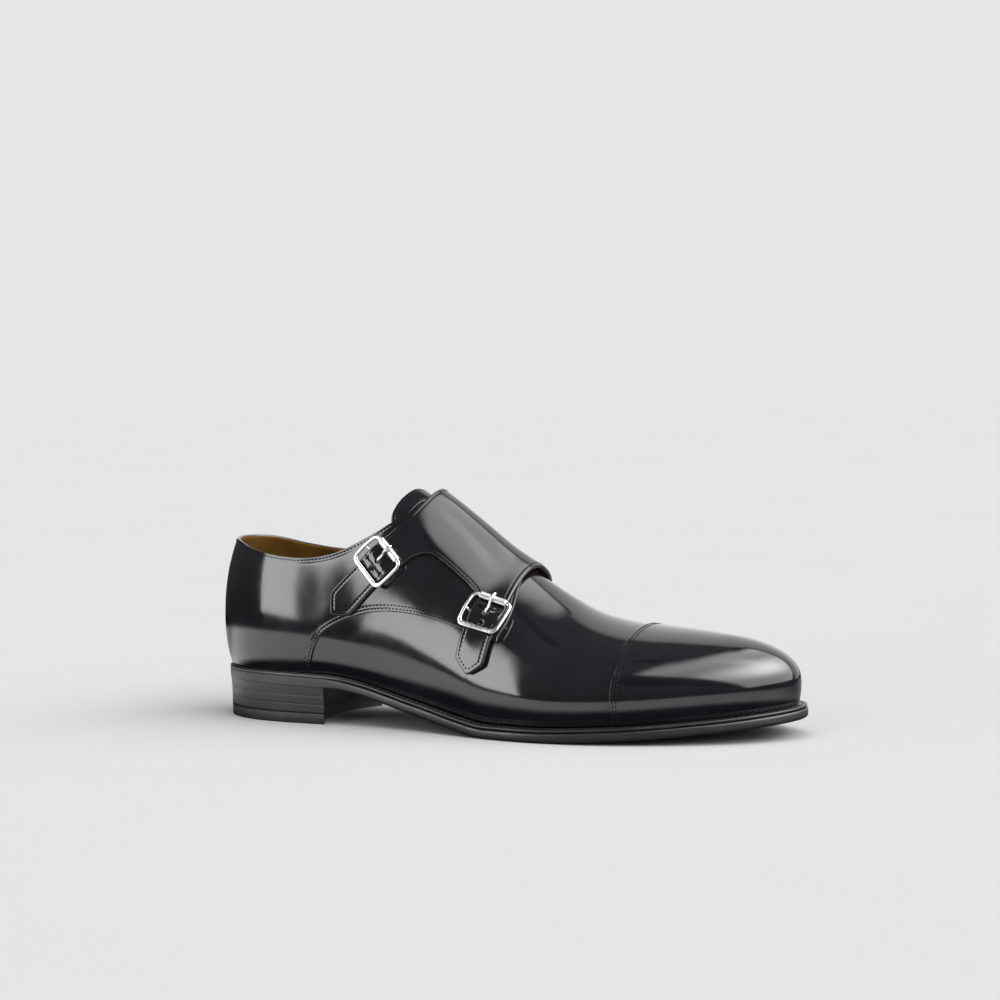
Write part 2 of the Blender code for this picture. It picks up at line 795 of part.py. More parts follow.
def sheet(name, edge, holes, fine, low, high, spacing, material):
    """Leather piece over the last: edge in metres along the shoe and girth, between two lifts.

    low and high give the lift of the under and upper face for arrays of station and girth position;
    fine holds further points for places where the lift changes quickly.
    """
    corners = [tuple(point) for point in edge]
    loops = [list(range(len(edge)))]
    for hole in holes:
        first = len(corners)
        corners.extend(tuple(point) for point in hole)
        loops.append(list(range(first, len(corners))))
    edges = [(loop[i], loop[(i + 1) % len(loop)]) for loop in loops for i in range(len(loop))]
    (left, bottom), (right, top) = edge.min(0), edge.max(0)
    for j in range(int((top - bottom) / spacing) + 1):
        y = bottom + spacing * (j + 0.5)
        for i in range(int((right - left) / spacing) + 2):
            x = left + spacing * (i + 0.5 * (j % 2))
            if not inside(edge, x, y) or distance_to(edge, x, y) < 0.4 * spacing:
                continue
            if len(fine) and np.hypot(*(fine - (x, y)).T).min() < 0.6 * spacing:
                continue
            corners.append((x, y))
    corners.extend(tuple(point) for point in fine if inside(edge, *point))
    flat, _, triangles, _, _, _ = delaunay_2d_cdt([Vector(c) for c in corners], edges, [], 0, 1e-9)
    flat = np.array([tuple(p) for p in flat])
    kept = []
    for triangle in triangles:
        x, y = flat[list(triangle)].mean(0)
        if inside(edge, x, y) and not any(inside(hole, x, y) for hole in holes):
            kept.append(tuple(triangle))
    x = flat[:, 0]
    g = flat[:, 1] / HALF_GIRTH
    points = np.concatenate([on_top(x, g, high(x, g)), on_top(x, g, low(x, g))])
    count = len(flat)
    faces = list(kept)
    faces.extend(tuple(count + i for i in reversed(face)) for face in kept)
    sides = {}
    for a, b, c in kept:
        for pair in ((a, b), (b, c), (c, a)):
            sides[pair] = True
    for a, b in sides:
        if (b, a) not in sides:
            faces.append((b, a, count + a, count + b))
    return build(name, points, faces, material)


def in_metres(edge):
    return np.array(edge) * (LENGTH, HALF_GIRTH)


def make_tongue():
    edge = corner_rounding(in_metres(TONGUE_EDGE), 1)
    top = -LINING_DEPTH - TONGUE_GAP
    sheet(
        "tongue", edge, [], [],
        lambda x, g: x * 0 + top - TONGUE_THICKNESS,
        lambda x, g: x * 0 + top,
        TONGUE_MESH, "upper_leather",
    )


def buckle_frame(row):
    """Centre of a buckle on the skin, with unit directions along and across its strap and outward."""
    x = np.array(row[1] * LENGTH)
    g = np.array(row[2])
    flat = np.array(0.0)
    centre = on_top(x, g, flat)
    out = on_top(x, g, flat + 1e-3) - centre
    out = out / np.linalg.norm(out)
    up = on_top(x, g + 1e-3, flat) - centre
    up = up - out * up.dot(out)
    up = up / np.linalg.norm(up)
    toeward = np.cross(up, out)
    toeward = toeward * np.sign(toeward[0])
    turn = np.radians(row[3])
    along = up * np.cos(turn) + toeward * np.sin(turn)
    return centre, along, np.cross(out, along), out


def near_buckle(row, x, g):
    """Distances along and across the strap from a buckle's centre bar."""
    centre, along, across = buckle_frame(row)[:3]
    away = on_top(x, g, np.zeros(np.shape(x))) - centre
    return away @ along, away @ across


def place_near(row, s, t):
    """Station and girth position of a point s along and t across from a buckle's centre bar."""
    x = np.full(np.shape(s), row[1] * LENGTH)
    g = np.full(np.shape(s), row[2])
    e = 1e-4
    for _ in range(6):
        s0, t0 = near_buckle(row, x, g)
        s1, t1 = near_buckle(row, x + e, g)
        s2, t2 = near_buckle(row, x, g + e)
        a, b = (s1 - s0) / e, (s2 - s0) / e
        c, d = (t1 - t0) / e, (t2 - t0) / e
        ds, dt = s - s0, t - t0
        turn = a * d - b * c
        x = x + (d * ds - b * dt) / turn
        g = g + (a * dt - c * ds) / turn
    return x, g


def strap_under(x, g):
    """Lift of the flap's under face: on the quarter, higher at its front and over the centre bars."""
    away = ((x - QUARTER_FRONT) / FLAP_STAND_LENGTH) ** 2 + (g * HALF_GIRTH / (2 * FLAP_STAND_LENGTH)) ** 2
    lift = FLAP_GAP + FLAP_STAND * np.exp(-away)
    for row in BUCKLES:
        s, t = near_buckle(row, x, g)
        hump = np.exp(-((s / HUMP_LENGTH) ** 2) - (t / (0.9 * STRAP_WIDTH)) ** 4)
        lift = lift + (BAR_DIAMETER + 2 * FIT_GAP - FLAP_GAP) * hump
    return lift


def strap_edge(row):
    """Edge of one strap past its buckle, down its upper side, round the tip and back."""
    rows = np.array(STRAP_END)
    share = np.concatenate([rows[:, 0], rows[-2::-1, 0]])
    t = np.concatenate([rows[:, 1], -rows[-2::-1, 1]]) * STRAP_WIDTH / 2
    t = t + row[5] * np.clip(share, 0, 1) ** 2
    x, g = place_near(row, -row[4] * share, t)
    return np.stack([x, g * HALF_GIRTH], -1)


def flap_edge():
    upper, lower = (strap_edge(row) for row in BUCKLES)
    return np.concatenate([upper, in_metres(FLAP_CUT), lower, in_metres(FLAP_BODY)])


def make_flap():
    edge = corner_rounding(flap_edge(), 1)
    holes = []
    fine = []
    along = np.array([-1.9, -1.0, -0.5, 0.5, 1.0, 1.9]) * HUMP_LENGTH
    across = np.array([-0.34, -0.17, 0.0, 0.17, 0.34]) * STRAP_WIDTH
    ridge = np.stack([0 * across, across], -1)[[0, 1, 3, 4]]
    grid = np.concatenate([np.stack(np.meshgrid(along, across), -1).reshape(-1, 2), ridge])
    for row in BUCKLES:
        x, g = place_near(row, grid[:, 0], grid[:, 1])
        fine.append(np.stack([x, g * HALF_GIRTH], -1))
        turn = np.linspace(0, 2 * np.pi, 8, endpoint=False)
        radius = STRAP_HOLE / 2
        x, g = place_near(row, radius * np.cos(turn), radius * np.sin(turn))
        holes.append(np.stack([x, g * HALF_GIRTH], -1))
    sheet(
        "strap_flap", edge, holes, np.concatenate(fine),
        strap_under,
        lambda x, g: strap_under(x, g) + FLAP_THICKNESS,
        FLAP_MESH, "upper_leather",
    )


def tube(points, ups, width, depth, sides, closed):
    """Rings of an elliptic tube along points; ups give the depth direction at each point."""
    points = np.array(points)
    if closed:
        run = np.roll(points, -1, 0) - np.roll(points, 1, 0)
    else:
        run = np.gradient(points, axis=0)
    run = run / np.linalg.norm(run, axis=1, keepdims=True)
    aside = np.cross(run, ups)
    aside = aside / np.linalg.norm(aside, axis=1, keepdims=True)
    up = np.cross(aside, run)
    turn = np.linspace(0, 2 * np.pi, sides, endpoint=False)
    ring = aside[:, None] * np.cos(turn)[None, :, None] * width / 2
    ring = ring + up[:, None] * np.sin(turn)[None, :, None] * depth / 2
    return points[:, None] + ring


def tube_faces(rings, sides, closed, start=0):
    faces = grid_faces(rings, sides, start, True)
    last = start + (rings - 1) * sides
    if closed:
        for j in range(sides):
            k = (j + 1) % sides
            faces.append((last + j, last + k, start + k, start + j))
    else:
        faces.append(tuple(start + j for j in reversed(range(sides))))
        faces.append(tuple(last + j for j in range(sides)))
    return faces


FRAME_LIFT = FLAP_GAP + 2 * FIT_GAP + FLAP_THICKNESS + FRAME_DEPTH / 2 + ROLLER_WALL + PIN_GAP
BAR_LIFT = FIT_GAP + BAR_DIAMETER / 2


def bar_lift(t, end):
    """Lift of the centre bar: under the strap, rising outside its edges to the side bars."""
    clear = STRAP_WIDTH / 2 + STRAP_GAP + BAR_DIAMETER / 2
    share = np.clip((np.abs(t) - clear) / (end - clear), 0, 1)
    return BAR_LIFT + (FRAME_LIFT - BAR_LIFT) * share


def frame_path(a, b):
    """Rectangle with round corners: straight end bars at s = a and -a, side bars bowed a little."""
    bar = np.linspace(FRAME_CORNER - b, b - FRAME_CORNER, 6)
    turn = np.linspace(0, np.pi / 2, 5)[1:-1]
    corner_s = a - FRAME_CORNER + FRAME_CORNER * np.cos(turn)
    corner_t = b - FRAME_CORNER + FRAME_CORNER * np.sin(turn)
    side = np.linspace(a - FRAME_CORNER, FRAME_CORNER - a, 6)
    s = np.concatenate([0 * bar + a, corner_s, side, -corner_s[::-1]])
    t = np.concatenate([bar, corner_t, 0 * side + b, corner_t[::-1]])
    bow = 1 + SIDE_BOW / b * (1 - (s / a) ** 2)
    return np.concatenate([s, -s]), np.concatenate([t * bow, -t * bow])


def over_skin(row, s, t, lift):
    x, g = place_near(row, s, t)
    low = on_top(x, g, lift)
    high = on_top(x, g, lift + 1e-3)
    return low, (high - low) / 1e-3


def make_buckle(row):
    """Frame with its centre bar, roller on the end bar, and prong through the strap's hole."""
    name = row[0]
    a = (FRAME_ALONG - FRAME_WIDTH) / 2
    b = STRAP_WIDTH / 2 + STRAP_GAP + FRAME_WIDTH / 2
    s, t = frame_path(a, b)
    path, up = over_skin(row, s, t, FRAME_LIFT + 0 * s)
    rings = tube(path, up, FRAME_WIDTH, FRAME_DEPTH, 8, True)
    loop = build(
        "buckle_" + name + "_frame", rings.reshape(-1, 3), tube_faces(len(path), 8, True), "buckle_metal",
    )
    clear = STRAP_WIDTH / 2 + STRAP_GAP + BAR_DIAMETER / 2
    end = b + SIDE_BOW
    t = np.concatenate([[-end], np.linspace(-clear, clear, 9), [end]])
    path, up = over_skin(row, 0 * t, t, bar_lift(t, end))
    ups = np.broadcast_to(buckle_frame(row)[1], path.shape)
    rings = tube(path, ups, BAR_DIAMETER, BAR_DIAMETER, 8, False)
    bar = build("bar_cutter_" + name, rings.reshape(-1, 3), tube_faces(len(path), 8, False), "buckle_metal")
    join = loop.modifiers.new("centre_bar", "BOOLEAN")
    join.operation = "UNION"
    join.solver = "EXACT"
    join.object = bar
    bar.hide_render = True
    bar.display_type = "WIRE"

    sides = 10
    t = np.linspace(-ROLLER_LENGTH / 2, ROLLER_LENGTH / 2, 7)
    path, up = over_skin(row, a + 0 * t, t, FRAME_LIFT + 0 * t)
    core = 2 * PIN_GAP
    wide, deep = FRAME_WIDTH + core, FRAME_DEPTH + core
    inner = tube(path, up, wide, deep, sides, False)
    outer = tube(path, up, wide + 2 * ROLLER_WALL, deep + 2 * ROLLER_WALL, sides, False)
    points = np.concatenate([outer.reshape(-1, 3), inner.reshape(-1, 3)])
    start = len(path) * sides
    faces = grid_faces(len(path), sides, 0, True)
    faces.extend(tuple(reversed(face)) for face in grid_faces(len(path), sides, start, True))
    for base in (0, (len(path) - 1) * sides):
        for j in range(sides):
            k = (j + 1) % sides
            faces.append((base + j, base + k, start + base + k, start + base + j))
    build("buckle_" + name + "_roller", points, faces, "buckle_metal")

    r = PRONG_DIAMETER / 2
    over_strap = FIT_GAP + BAR_DIAMETER + FIT_GAP + FLAP_THICKNESS + FIT_GAP + r
    roller_top = FRAME_LIFT + deep / 2 + ROLLER_WALL + PIN_GAP + r
    s = np.array([0, 0, 0.10, 0.30, 0.55, 0.80, 1.0, 1.16]) * a
    root = FIT_GAP + BAR_DIAMETER + PIN_GAP
    lift = np.array([root, 0.5 * (root + over_strap), over_strap - 0.25 * r, over_strap, over_strap,
                     0.5 * (over_strap + roller_top), roller_top, roller_top])
    lift = np.maximum(lift, np.where(s > 0.75 * a, roller_top, 0))
    path, up = over_skin(row, s, 0 * s, lift)
    along = buckle_frame(row)[2]
    rings = tube(path, np.broadcast_to(along, path.shape), PRONG_DIAMETER, PRONG_DIAMETER, 8, False)
    faces = tube_faces(len(path), 8, False)
    build("buckle_" + name + "_prong", rings.reshape(-1, 3), faces, "buckle_metal")


def main():
    for old in list(bpy.data.objects):
        bpy.data.objects.remove(old, do_unlink=True)
    make_outsole()
    make_welt()
    make_heel()
    make_insole()
    make_upper()
    make_tongue()
    make_flap()
    for row in BUCKLES:
        make_buckle(row)


main()
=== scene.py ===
import bmesh
import bpy
import numpy as np
from mathutils import Matrix, Vector
from mathutils.geometry import delaunay_2d_cdt


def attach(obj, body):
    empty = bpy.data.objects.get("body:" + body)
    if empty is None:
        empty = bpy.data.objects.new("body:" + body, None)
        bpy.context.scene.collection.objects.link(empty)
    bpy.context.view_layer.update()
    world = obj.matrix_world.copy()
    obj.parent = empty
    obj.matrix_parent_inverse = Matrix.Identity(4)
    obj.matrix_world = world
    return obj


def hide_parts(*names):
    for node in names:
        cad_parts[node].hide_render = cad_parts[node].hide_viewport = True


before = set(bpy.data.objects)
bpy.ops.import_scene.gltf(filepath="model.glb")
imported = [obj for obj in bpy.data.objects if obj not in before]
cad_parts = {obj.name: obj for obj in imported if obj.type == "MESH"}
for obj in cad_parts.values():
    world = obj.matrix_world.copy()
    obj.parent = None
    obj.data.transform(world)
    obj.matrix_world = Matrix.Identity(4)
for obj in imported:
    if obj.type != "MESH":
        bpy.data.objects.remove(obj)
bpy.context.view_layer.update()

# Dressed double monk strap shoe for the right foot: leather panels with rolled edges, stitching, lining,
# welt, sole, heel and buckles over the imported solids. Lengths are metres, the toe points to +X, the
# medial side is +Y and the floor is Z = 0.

# Main sizes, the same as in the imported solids
LENGTH = 0.308
BALL_WIDTH = 0.110
INSTEP_HEIGHT = 0.1105
BREAST_HEIGHT = 0.0185
SEAT_RISE = 0.0017
TOE_SPRING = 0.009
HEEL_LENGTH = 0.070
BREAST_HOLLOW = 0.010
OUTSOLE_THICKNESS = 0.0045
SOLE_EDGE_ROUND = 0.0009
WELT_THICKNESS = 0.0025
WELT_STEP = 0.0005
WELT_REACH = 0.0046
WELT_INNER = 0.0052
TOP_PIECE_THICKNESS = 0.0052
TOP_PIECE_CHAMFER = 0.0006
HEEL_INSET = 0.0003
HEEL_TAPER = 0.0005
INSOLE_RISE = 0.0022
LINING_DEPTH = 0.0023
OVERLAY_STEP = 0.0009
TONGUE_THICKNESS = 0.0018
FLAP_THICKNESS = 0.0019
FIT_GAP = 0.0003
FLAP_GAP = 0.0005
FLAP_STAND = 0.0012
FLAP_STAND_LENGTH = 0.012
TONGUE_GAP = 0.0015
PIN_GAP = 0.0002
HEEL_LIFTS = 3
HEEL_AXIS = 0.036
TOE_AXIS_SETBACK = 0.042
AXIS_SOFTNESS = 0.006
BULGE_DEPTH = 0.005
BULGE_RISE = 0.024
BULGE_SHARE = 0.3
THROAT = 0.121
SLOT_END = 0.152
SLOT_WIDTH = 0.024
SLOT_ROUND = 0.012
SLOT_RUN_IN = 0.012
HALF_GIRTH = 0.100
CAP_SEAM = 0.2288
QUARTER_FRONT = 0.1702
QUARTER_FOOT = 0.0625
FRAME_ALONG = 0.0180
STRAP_WIDTH = 0.0156
STRAP_GAP = 0.0009
FRAME_WIDTH = 0.0022
FRAME_CORNER = 0.0023
SIDE_BOW = 0.0006
FRAME_DEPTH = 0.0016
BAR_DIAMETER = 0.0012
ROLLER_WALL = 0.0005
ROLLER_LENGTH = 0.0142
PRONG_DIAMETER = 0.0012
STRAP_HOLE = 0.0020
HUMP_LENGTH = 0.0038

# Plan outline: station (share of length), lateral and medial half width (shares of the ball width)
OUTLINE = (
    (0.000, 0.000, 0.000), (0.030, 0.190, 0.190), (0.080, 0.272, 0.268), (0.150, 0.312, 0.302),
    (0.230, 0.318, 0.290), (0.320, 0.330, 0.252), (0.420, 0.375, 0.262), (0.520, 0.445, 0.365),
    (0.600, 0.480, 0.462), (0.680, 0.475, 0.500), (0.760, 0.432, 0.490), (0.840, 0.355, 0.437),
    (0.910, 0.262, 0.355), (0.960, 0.165, 0.265), (0.990, 0.060, 0.165), (1.000, -0.045, 0.045),
)
# Reach of the sole past the upper: station, lateral, medial (shares of the welt reach)
REACH = (
    (0.00, 0.26, 0.26), (0.20, 0.35, 0.26), (0.35, 0.70, 0.26), (0.50, 0.96, 0.48),
    (0.65, 1.04, 0.96), (0.80, 1.00, 1.00), (1.00, 0.91, 0.91),
)
# Side wall: station, bulge lateral and medial, its height lateral and medial
WALL = (
    (0.00, 0.68, 0.68, 1.04, 1.04), (0.10, 0.68, 0.72, 0.96, 1.00), (0.25, 0.60, 1.00, 0.83, 1.00),
    (0.40, 0.50, 1.50, 0.75, 1.08), (0.52, 0.48, 1.00, 0.62, 0.92), (0.65, 0.52, 0.56, 0.50, 0.58),
    (0.80, 0.44, 0.44, 0.46, 0.50), (0.92, 0.32, 0.32, 0.46, 0.46), (1.00, 0.24, 0.24, 0.46, 0.46),
)
# Ridge over the foot: station, shift to the medial side, height, fullness of the flank and crown
RIDGE = (
    (0.117, 0.000, 1.080, 0.52, 0.60), (0.195, 0.000, 1.070, 0.50, 0.60), (0.276, 0.000, 1.090, 0.50, 0.60),
    (0.325, 0.000, 1.124, 0.52, 0.58), (0.360, 0.009, 1.098, 0.53, 0.53), (0.393, 0.009, 1.042, 0.52, 0.48),
    (0.432, 0.018, 0.962, 0.50, 0.43), (0.474, 0.027, 0.868, 0.48, 0.39), (0.516, 0.036, 0.770, 0.47, 0.37),
    (0.552, 0.036, 0.699, 0.47, 0.37), (0.584, 0.036, 0.640, 0.47, 0.39), (0.617, 0.036, 0.582, 0.49, 0.42),
    (0.650, 0.036, 0.531, 0.51, 0.45), (0.695, 0.036, 0.492, 0.54, 0.49), (0.753, 0.045, 0.464, 0.57, 0.52),
    (0.812, 0.045, 0.448, 0.58, 0.52), (0.864, 0.045, 0.432, 0.58, 0.52),
)
# Collar edge: station, height (share of the instep height)
COLLAR = (
    (0.000, 0.842), (0.030, 0.832), (0.090, 0.792), (0.150, 0.766), (0.200, 0.762), (0.250, 0.790),
    (0.300, 0.856), (0.340, 0.925), (0.370, 0.974), (0.393, 0.995),
)
# Underside of the sole: station, height of the heel part and of the fore part
SOLE_LINE = (
    (0.400, 0.42, 0.00), (0.480, 0.13, 0.00), (0.535, 0.00, 0.00), (0.600, 0.00, 0.00),
    (0.740, 0.00, 0.19), (0.880, 0.00, 0.56), (1.000, 0.00, 1.00),
)
# Lower edge of the quarter: station, girth share
QUARTER_SEAM = (
    (0.203, 0.06), (0.208, 0.14), (0.214, 0.22), (0.227, 0.30), (0.247, 0.334), (0.271, 0.362),
    (0.303, 0.389), (0.333, 0.405), (0.381, 0.429), (0.426, 0.457), (0.474, 0.485), (0.553, 0.515),
)
# Front edge of the quarter above its seam: station in metres, girth share
QUARTER_NOSE = (
    (0.1676, 0.512), (0.1673, 0.532), (0.1693, 0.575), (0.1707, 0.619), (0.1713, 0.686),
    (0.1707, 0.741), (0.1700, 0.781), (0.1695, 0.850), (0.1685, 0.930), (0.1660, 0.975),
)
# Edge of the tongue: station, girth position (negative to the lateral side, 0 on the ridge)
TONGUE_EDGE = (
    (0.358, 0.00), (0.350, -0.12), (0.336, -0.22), (0.330, -0.30), (0.350, -0.38), (0.400, -0.42),
    (0.450, -0.40), (0.500, -0.34), (0.545, -0.24), (0.568, -0.12), (0.574, 0.00), (0.568, 0.12),
    (0.545, 0.24), (0.500, 0.34), (0.450, 0.40), (0.400, 0.42), (0.380, 0.38), (0.366, 0.30),
    (0.364, 0.22), (0.364, 0.12),
)
# Cut in the flap between its straps
FLAP_CUT = (
    (0.3690, -0.446), (0.3830, -0.401), (0.4070, -0.354), (0.4220, -0.344), (0.4560, -0.350),
    (0.4840, -0.356), (0.4950, -0.372),
)
# Rest of the flap's edge: front from the lower strap, medial end, top back to the upper strap
FLAP_BODY = (
    (0.5455, -0.346), (0.5470, -0.294), (0.5490, -0.223), (0.5515, -0.132), (0.5535, -0.057),
    (0.5550, 0.026), (0.5565, 0.100), (0.5560, 0.165), (0.5530, 0.230), (0.5480, 0.300),
    (0.5400, 0.370), (0.5280, 0.425), (0.5080, 0.440), (0.4600, 0.440), (0.4000, 0.440),
    (0.3500, 0.440), (0.3390, 0.420), (0.3420, 0.370), (0.3580, 0.300), (0.3730, 0.220),
    (0.3830, 0.130), (0.3875, 0.040), (0.3895, -0.030), (0.3870, -0.105), (0.3800, -0.195),
    (0.3695, -0.263), (0.3550, -0.322), (0.3370, -0.372),
)
# Strap past its buckle: length and half width (shares)
STRAP_END = (
    (-0.12, 1.00), (-0.05, 1.00), (0.00, 1.00), (0.05, 1.00), (0.12, 1.00), (0.30, 1.00),
    (0.50, 1.00), (0.72, 1.00), (0.79, 0.97), (0.84, 0.82), (0.97, 0.18), (1.00, 0.00),
)
# Buckles: name, station and girth position, turn, strap length past the bar, sweep of its end
BUCKLES = (
    ("upper", 0.3297, -0.457, 46.0, 0.0365, -0.0015),
    ("lower", 0.5180, -0.418, 15.0, 0.0285, -0.0037),
)

# Camera: place in the last's own frame, view direction, roll and lens
CAMERA_PLACE = (0.54224, -0.89498, 0.15725)
CAMERA_AIM = (-0.39771, 0.91634, -0.04632)
CAMERA_ROLL = -0.0161
CAMERA_LENS = 70.28

# Leather layers and edges
SHELL_MIDDLE = 0.0016
EDGE_ROUND = 0.00040
STITCH_INSET = 0.0015
SECOND_ROW = 0.0031
FLAP_ROW = 0.0020
FLAP_ROUND = 0.0006
HOLE_RADIUS = 0.0008
STITCH_TROUGH = 0.00005
TROUGH_WIDTH = 0.00042
LAYER_GAP = 0.00005
LINING_GAP = 0.00002
COLLAR_ROLL = 0.002

# Smoothed net over the last
NET_COLUMNS = 960
NET_ROWS = 120
NET_PAD = 14
NET_BLUR = 9


def unit(v):
    """The same directions with length 1."""
    return v / np.maximum(np.linalg.norm(v, axis=-1, keepdims=True), 1e-12)


def lengths(points):
    """Length run through from the first point to each, along an open row of points."""
    return np.concatenate([[0], np.cumsum(np.linalg.norm(np.diff(points, axis=0), axis=-1))])


def circle(count):
    return np.linspace(0, 2 * np.pi, count, endpoint=False)


def smooth(xs, ys, x):
    """Cubic through the rows of a table, with slopes weighted by the distance of the rows."""
    step = np.diff(xs)
    rise = np.diff(ys) / step
    slope = np.empty_like(ys)
    slope[1:-1] = (rise[:-1] * step[1:] + rise[1:] * step[:-1]) / (step[1:] + step[:-1])
    slope[0] = 1.5 * rise[0] - 0.5 * slope[1]
    slope[-1] = 1.5 * rise[-1] - 0.5 * slope[-2]
    return cubic(xs, ys, slope, x)


def level(xs, ys, x):
    """Cubic through the rows of a table that never passes a row's value between rows."""
    step = np.diff(xs)
    rise = np.diff(ys) / step
    slope = np.zeros_like(ys)
    both = rise[:-1] * rise[1:] > 0
    total = np.where(both, rise[:-1] + rise[1:], 1.0)
    slope[1:-1] = np.where(both, 2 * rise[:-1] * rise[1:] / total, 0.0)
    slope[0] = rise[0]
    slope[-1] = rise[-1]
    return cubic(xs, ys, slope, x)


def cubic(xs, ys, slope, x):
    i = np.clip(np.searchsorted(xs, x, side="right") - 1, 0, len(xs) - 2)
    step = xs[i + 1] - xs[i]
    t = (x - xs[i]) / step
    a = (2 * t**3 - 3 * t**2 + 1) * ys[i] + (t**3 - 2 * t**2 + t) * step * slope[i]
    return a + (3 * t**2 - 2 * t**3) * ys[i + 1] + (t**3 - t**2) * step * slope[i + 1]


def column(table, number, share):
    rows = np.array(table)
    return smooth(rows[:, 0], rows[:, number], np.clip(share, rows[0, 0], rows[-1, 0]))


def by_side(table, number, q):
    share = station(q) / LENGTH
    return np.where(q % 2 <= 1, column(table, number, share), column(table, number + 1, share))


def station(q):
    return LENGTH * (1 - np.cos(np.pi * q)) / 2


def outline(q):
    """Edge of the sole in plan; q runs 0 to 1 along the lateral side and 1 to 2 back on the medial."""
    rows = np.array(OUTLINE)
    place = np.arccos(1 - 2 * rows[:, 0]) / np.pi
    around = np.concatenate([place, 2 - place[-2::-1]])
    width = np.concatenate([-rows[:, 1], rows[-2::-1, 2]])
    around = np.concatenate([around[-4:-1] - 2, around, around[1:4] + 2])
    width = np.concatenate([width[-4:-1], width, width[1:4]])
    q = q % 2
    return station(q), BALL_WIDTH * smooth(around, width, q)


def inset_outline(q, inset):
    x0, y0 = outline(q - 1e-4)
    x1, y1 = outline(q + 1e-4)
    run = np.hypot(x1 - x0, y1 - y0)
    x, y = outline(q)
    return x - inset * (y1 - y0) / run, y + inset * (x1 - x0) / run


def feather(q, inset=0.0):
    """Line where the upper meets the welt, or a line further in."""
    return inset_outline(q, WELT_REACH * by_side(REACH, 1, q) + inset)


def sole_height(x):
    rows = np.array(SOLE_LINE)
    breast = HEEL_LENGTH / LENGTH
    stations = np.concatenate([[0.0, breast], rows[:, 0]])
    seat = [BREAST_HEIGHT + SEAT_RISE, BREAST_HEIGHT]
    heights = np.concatenate([seat, BREAST_HEIGHT * rows[:, 1] + TOE_SPRING * rows[:, 2]])
    return level(stations, heights, np.clip(x / LENGTH, 0, 1))


def edge_height(x):
    return sole_height(x) + OUTSOLE_THICKNESS + WELT_THICKNESS


def clamp_softly(x, low, high):
    below = np.log1p(np.exp((x - low) / AXIS_SOFTNESS))
    above = np.log1p(np.exp((x - high) / AXIS_SOFTNESS))
    return low + AXIS_SOFTNESS * (below - above)


def axis_station(q):
    return clamp_softly(station(q), HEEL_AXIS, LENGTH - TOE_AXIS_SETBACK)


AROUND_TABLE = np.linspace(0, 1, 4001)
AXIS_TABLE = axis_station(AROUND_TABLE)


def place_of(x):
    """Place q on the lateral half whose section stands at axis station x."""
    return np.interp(x, AXIS_TABLE, AROUND_TABLE)


def section(q):
    foot_x, foot_y = feather(q)
    axis_x = axis_station(q)
    share = axis_x / LENGTH
    axis_y = BALL_WIDTH * column(RIDGE, 1, share)
    away_x = foot_x - axis_x
    away_y = foot_y - axis_y
    foot_r = np.hypot(away_x, away_y)
    near = column(RIDGE, 2, share - 1e-3)
    far = column(RIDGE, 2, share + 1e-3)
    fall = (far - near) / (2e-3) * INSTEP_HEIGHT / LENGTH
    foot_z = edge_height(foot_x)
    return {
        "x": axis_x,
        "y": axis_y,
        "dx": away_x / foot_r,
        "dy": away_y / foot_r,
        "foot_r": foot_r,
        "foot_z": foot_z,
        "side_r": foot_r + BULGE_DEPTH * by_side(WALL, 1, q),
        "side_z": foot_z + BULGE_RISE * by_side(WALL, 3, q),
        "top_z": INSTEP_HEIGHT * column(RIDGE, 2, share),
        "tilt": fall * away_x / foot_r,
        "flank": column(RIDGE, 3, share),
        "crown": column(RIDGE, 4, share),
    }


def bezier(a, b, c, d, t):
    s = 1 - t
    return s**3 * a + 3 * s * s * t * b + 3 * s * t * t * c + t**3 * d


def girth_profile(form, v):
    bulge = form["side_r"] - form["foot_r"]
    rise = form["side_z"] - form["foot_z"]
    t = np.clip(v / BULGE_SHARE, 0, 1)
    low_r = bezier(form["foot_r"], form["foot_r"] + 0.7 * bulge, form["side_r"], form["side_r"], t)
    base = form["foot_z"]
    low_z = bezier(base, base + 0.22 * rise, base + 0.55 * rise, form["side_z"], t)
    t = np.clip((v - BULGE_SHARE) / (1 - BULGE_SHARE), 0, 1)
    climb = form["top_z"] - form["side_z"]
    handle = form["crown"] * form["side_r"]
    high_r = bezier(form["side_r"], form["side_r"], handle, 0, t)
    before_top = form["top_z"] + form["tilt"] * handle
    high_z = bezier(form["side_z"], form["side_z"] + form["flank"] * climb, before_top, form["top_z"], t)
    lower = v < BULGE_SHARE
    return np.where(lower, low_r, high_r), np.where(lower, low_z, high_z)


def raw_point(q, v):
    form = section(q)
    r, z = girth_profile(form, v)
    return np.stack([form["x"] + form["dx"] * r, form["y"] + form["dy"] * r, z], -1)


def control_net():
    """Net of points over the last, smoothed in both directions; beyond the ridge the other side goes on."""
    q = np.arange(NET_COLUMNS) * 2 / NET_COLUMNS
    v = np.arange(NET_ROWS + 1) / NET_ROWS
    net = raw_point(*np.meshgrid(q, v, indexing="ij"))
    other = net[(-np.arange(NET_COLUMNS)) % NET_COLUMNS]
    low = 2 * net[:, :1] - net[:, NET_PAD:0:-1]
    high = other[:, -2:-NET_PAD - 2:-1]
    net = np.concatenate([low, net, high], 1)
    reach = np.arange(-NET_BLUR, NET_BLUR + 1)
    weight = np.exp(-0.5 * (reach / (NET_BLUR / 3)) ** 2)
    weight = weight / weight.sum()
    net = sum(w * np.roll(net, k, 0) for k, w in zip(reach, weight))
    rows = net.shape[1]
    return sum(w * net[:, NET_BLUR + k:rows - NET_BLUR + k] for k, w in zip(reach, weight))


NET = control_net()
NET_START = NET_PAD - NET_BLUR


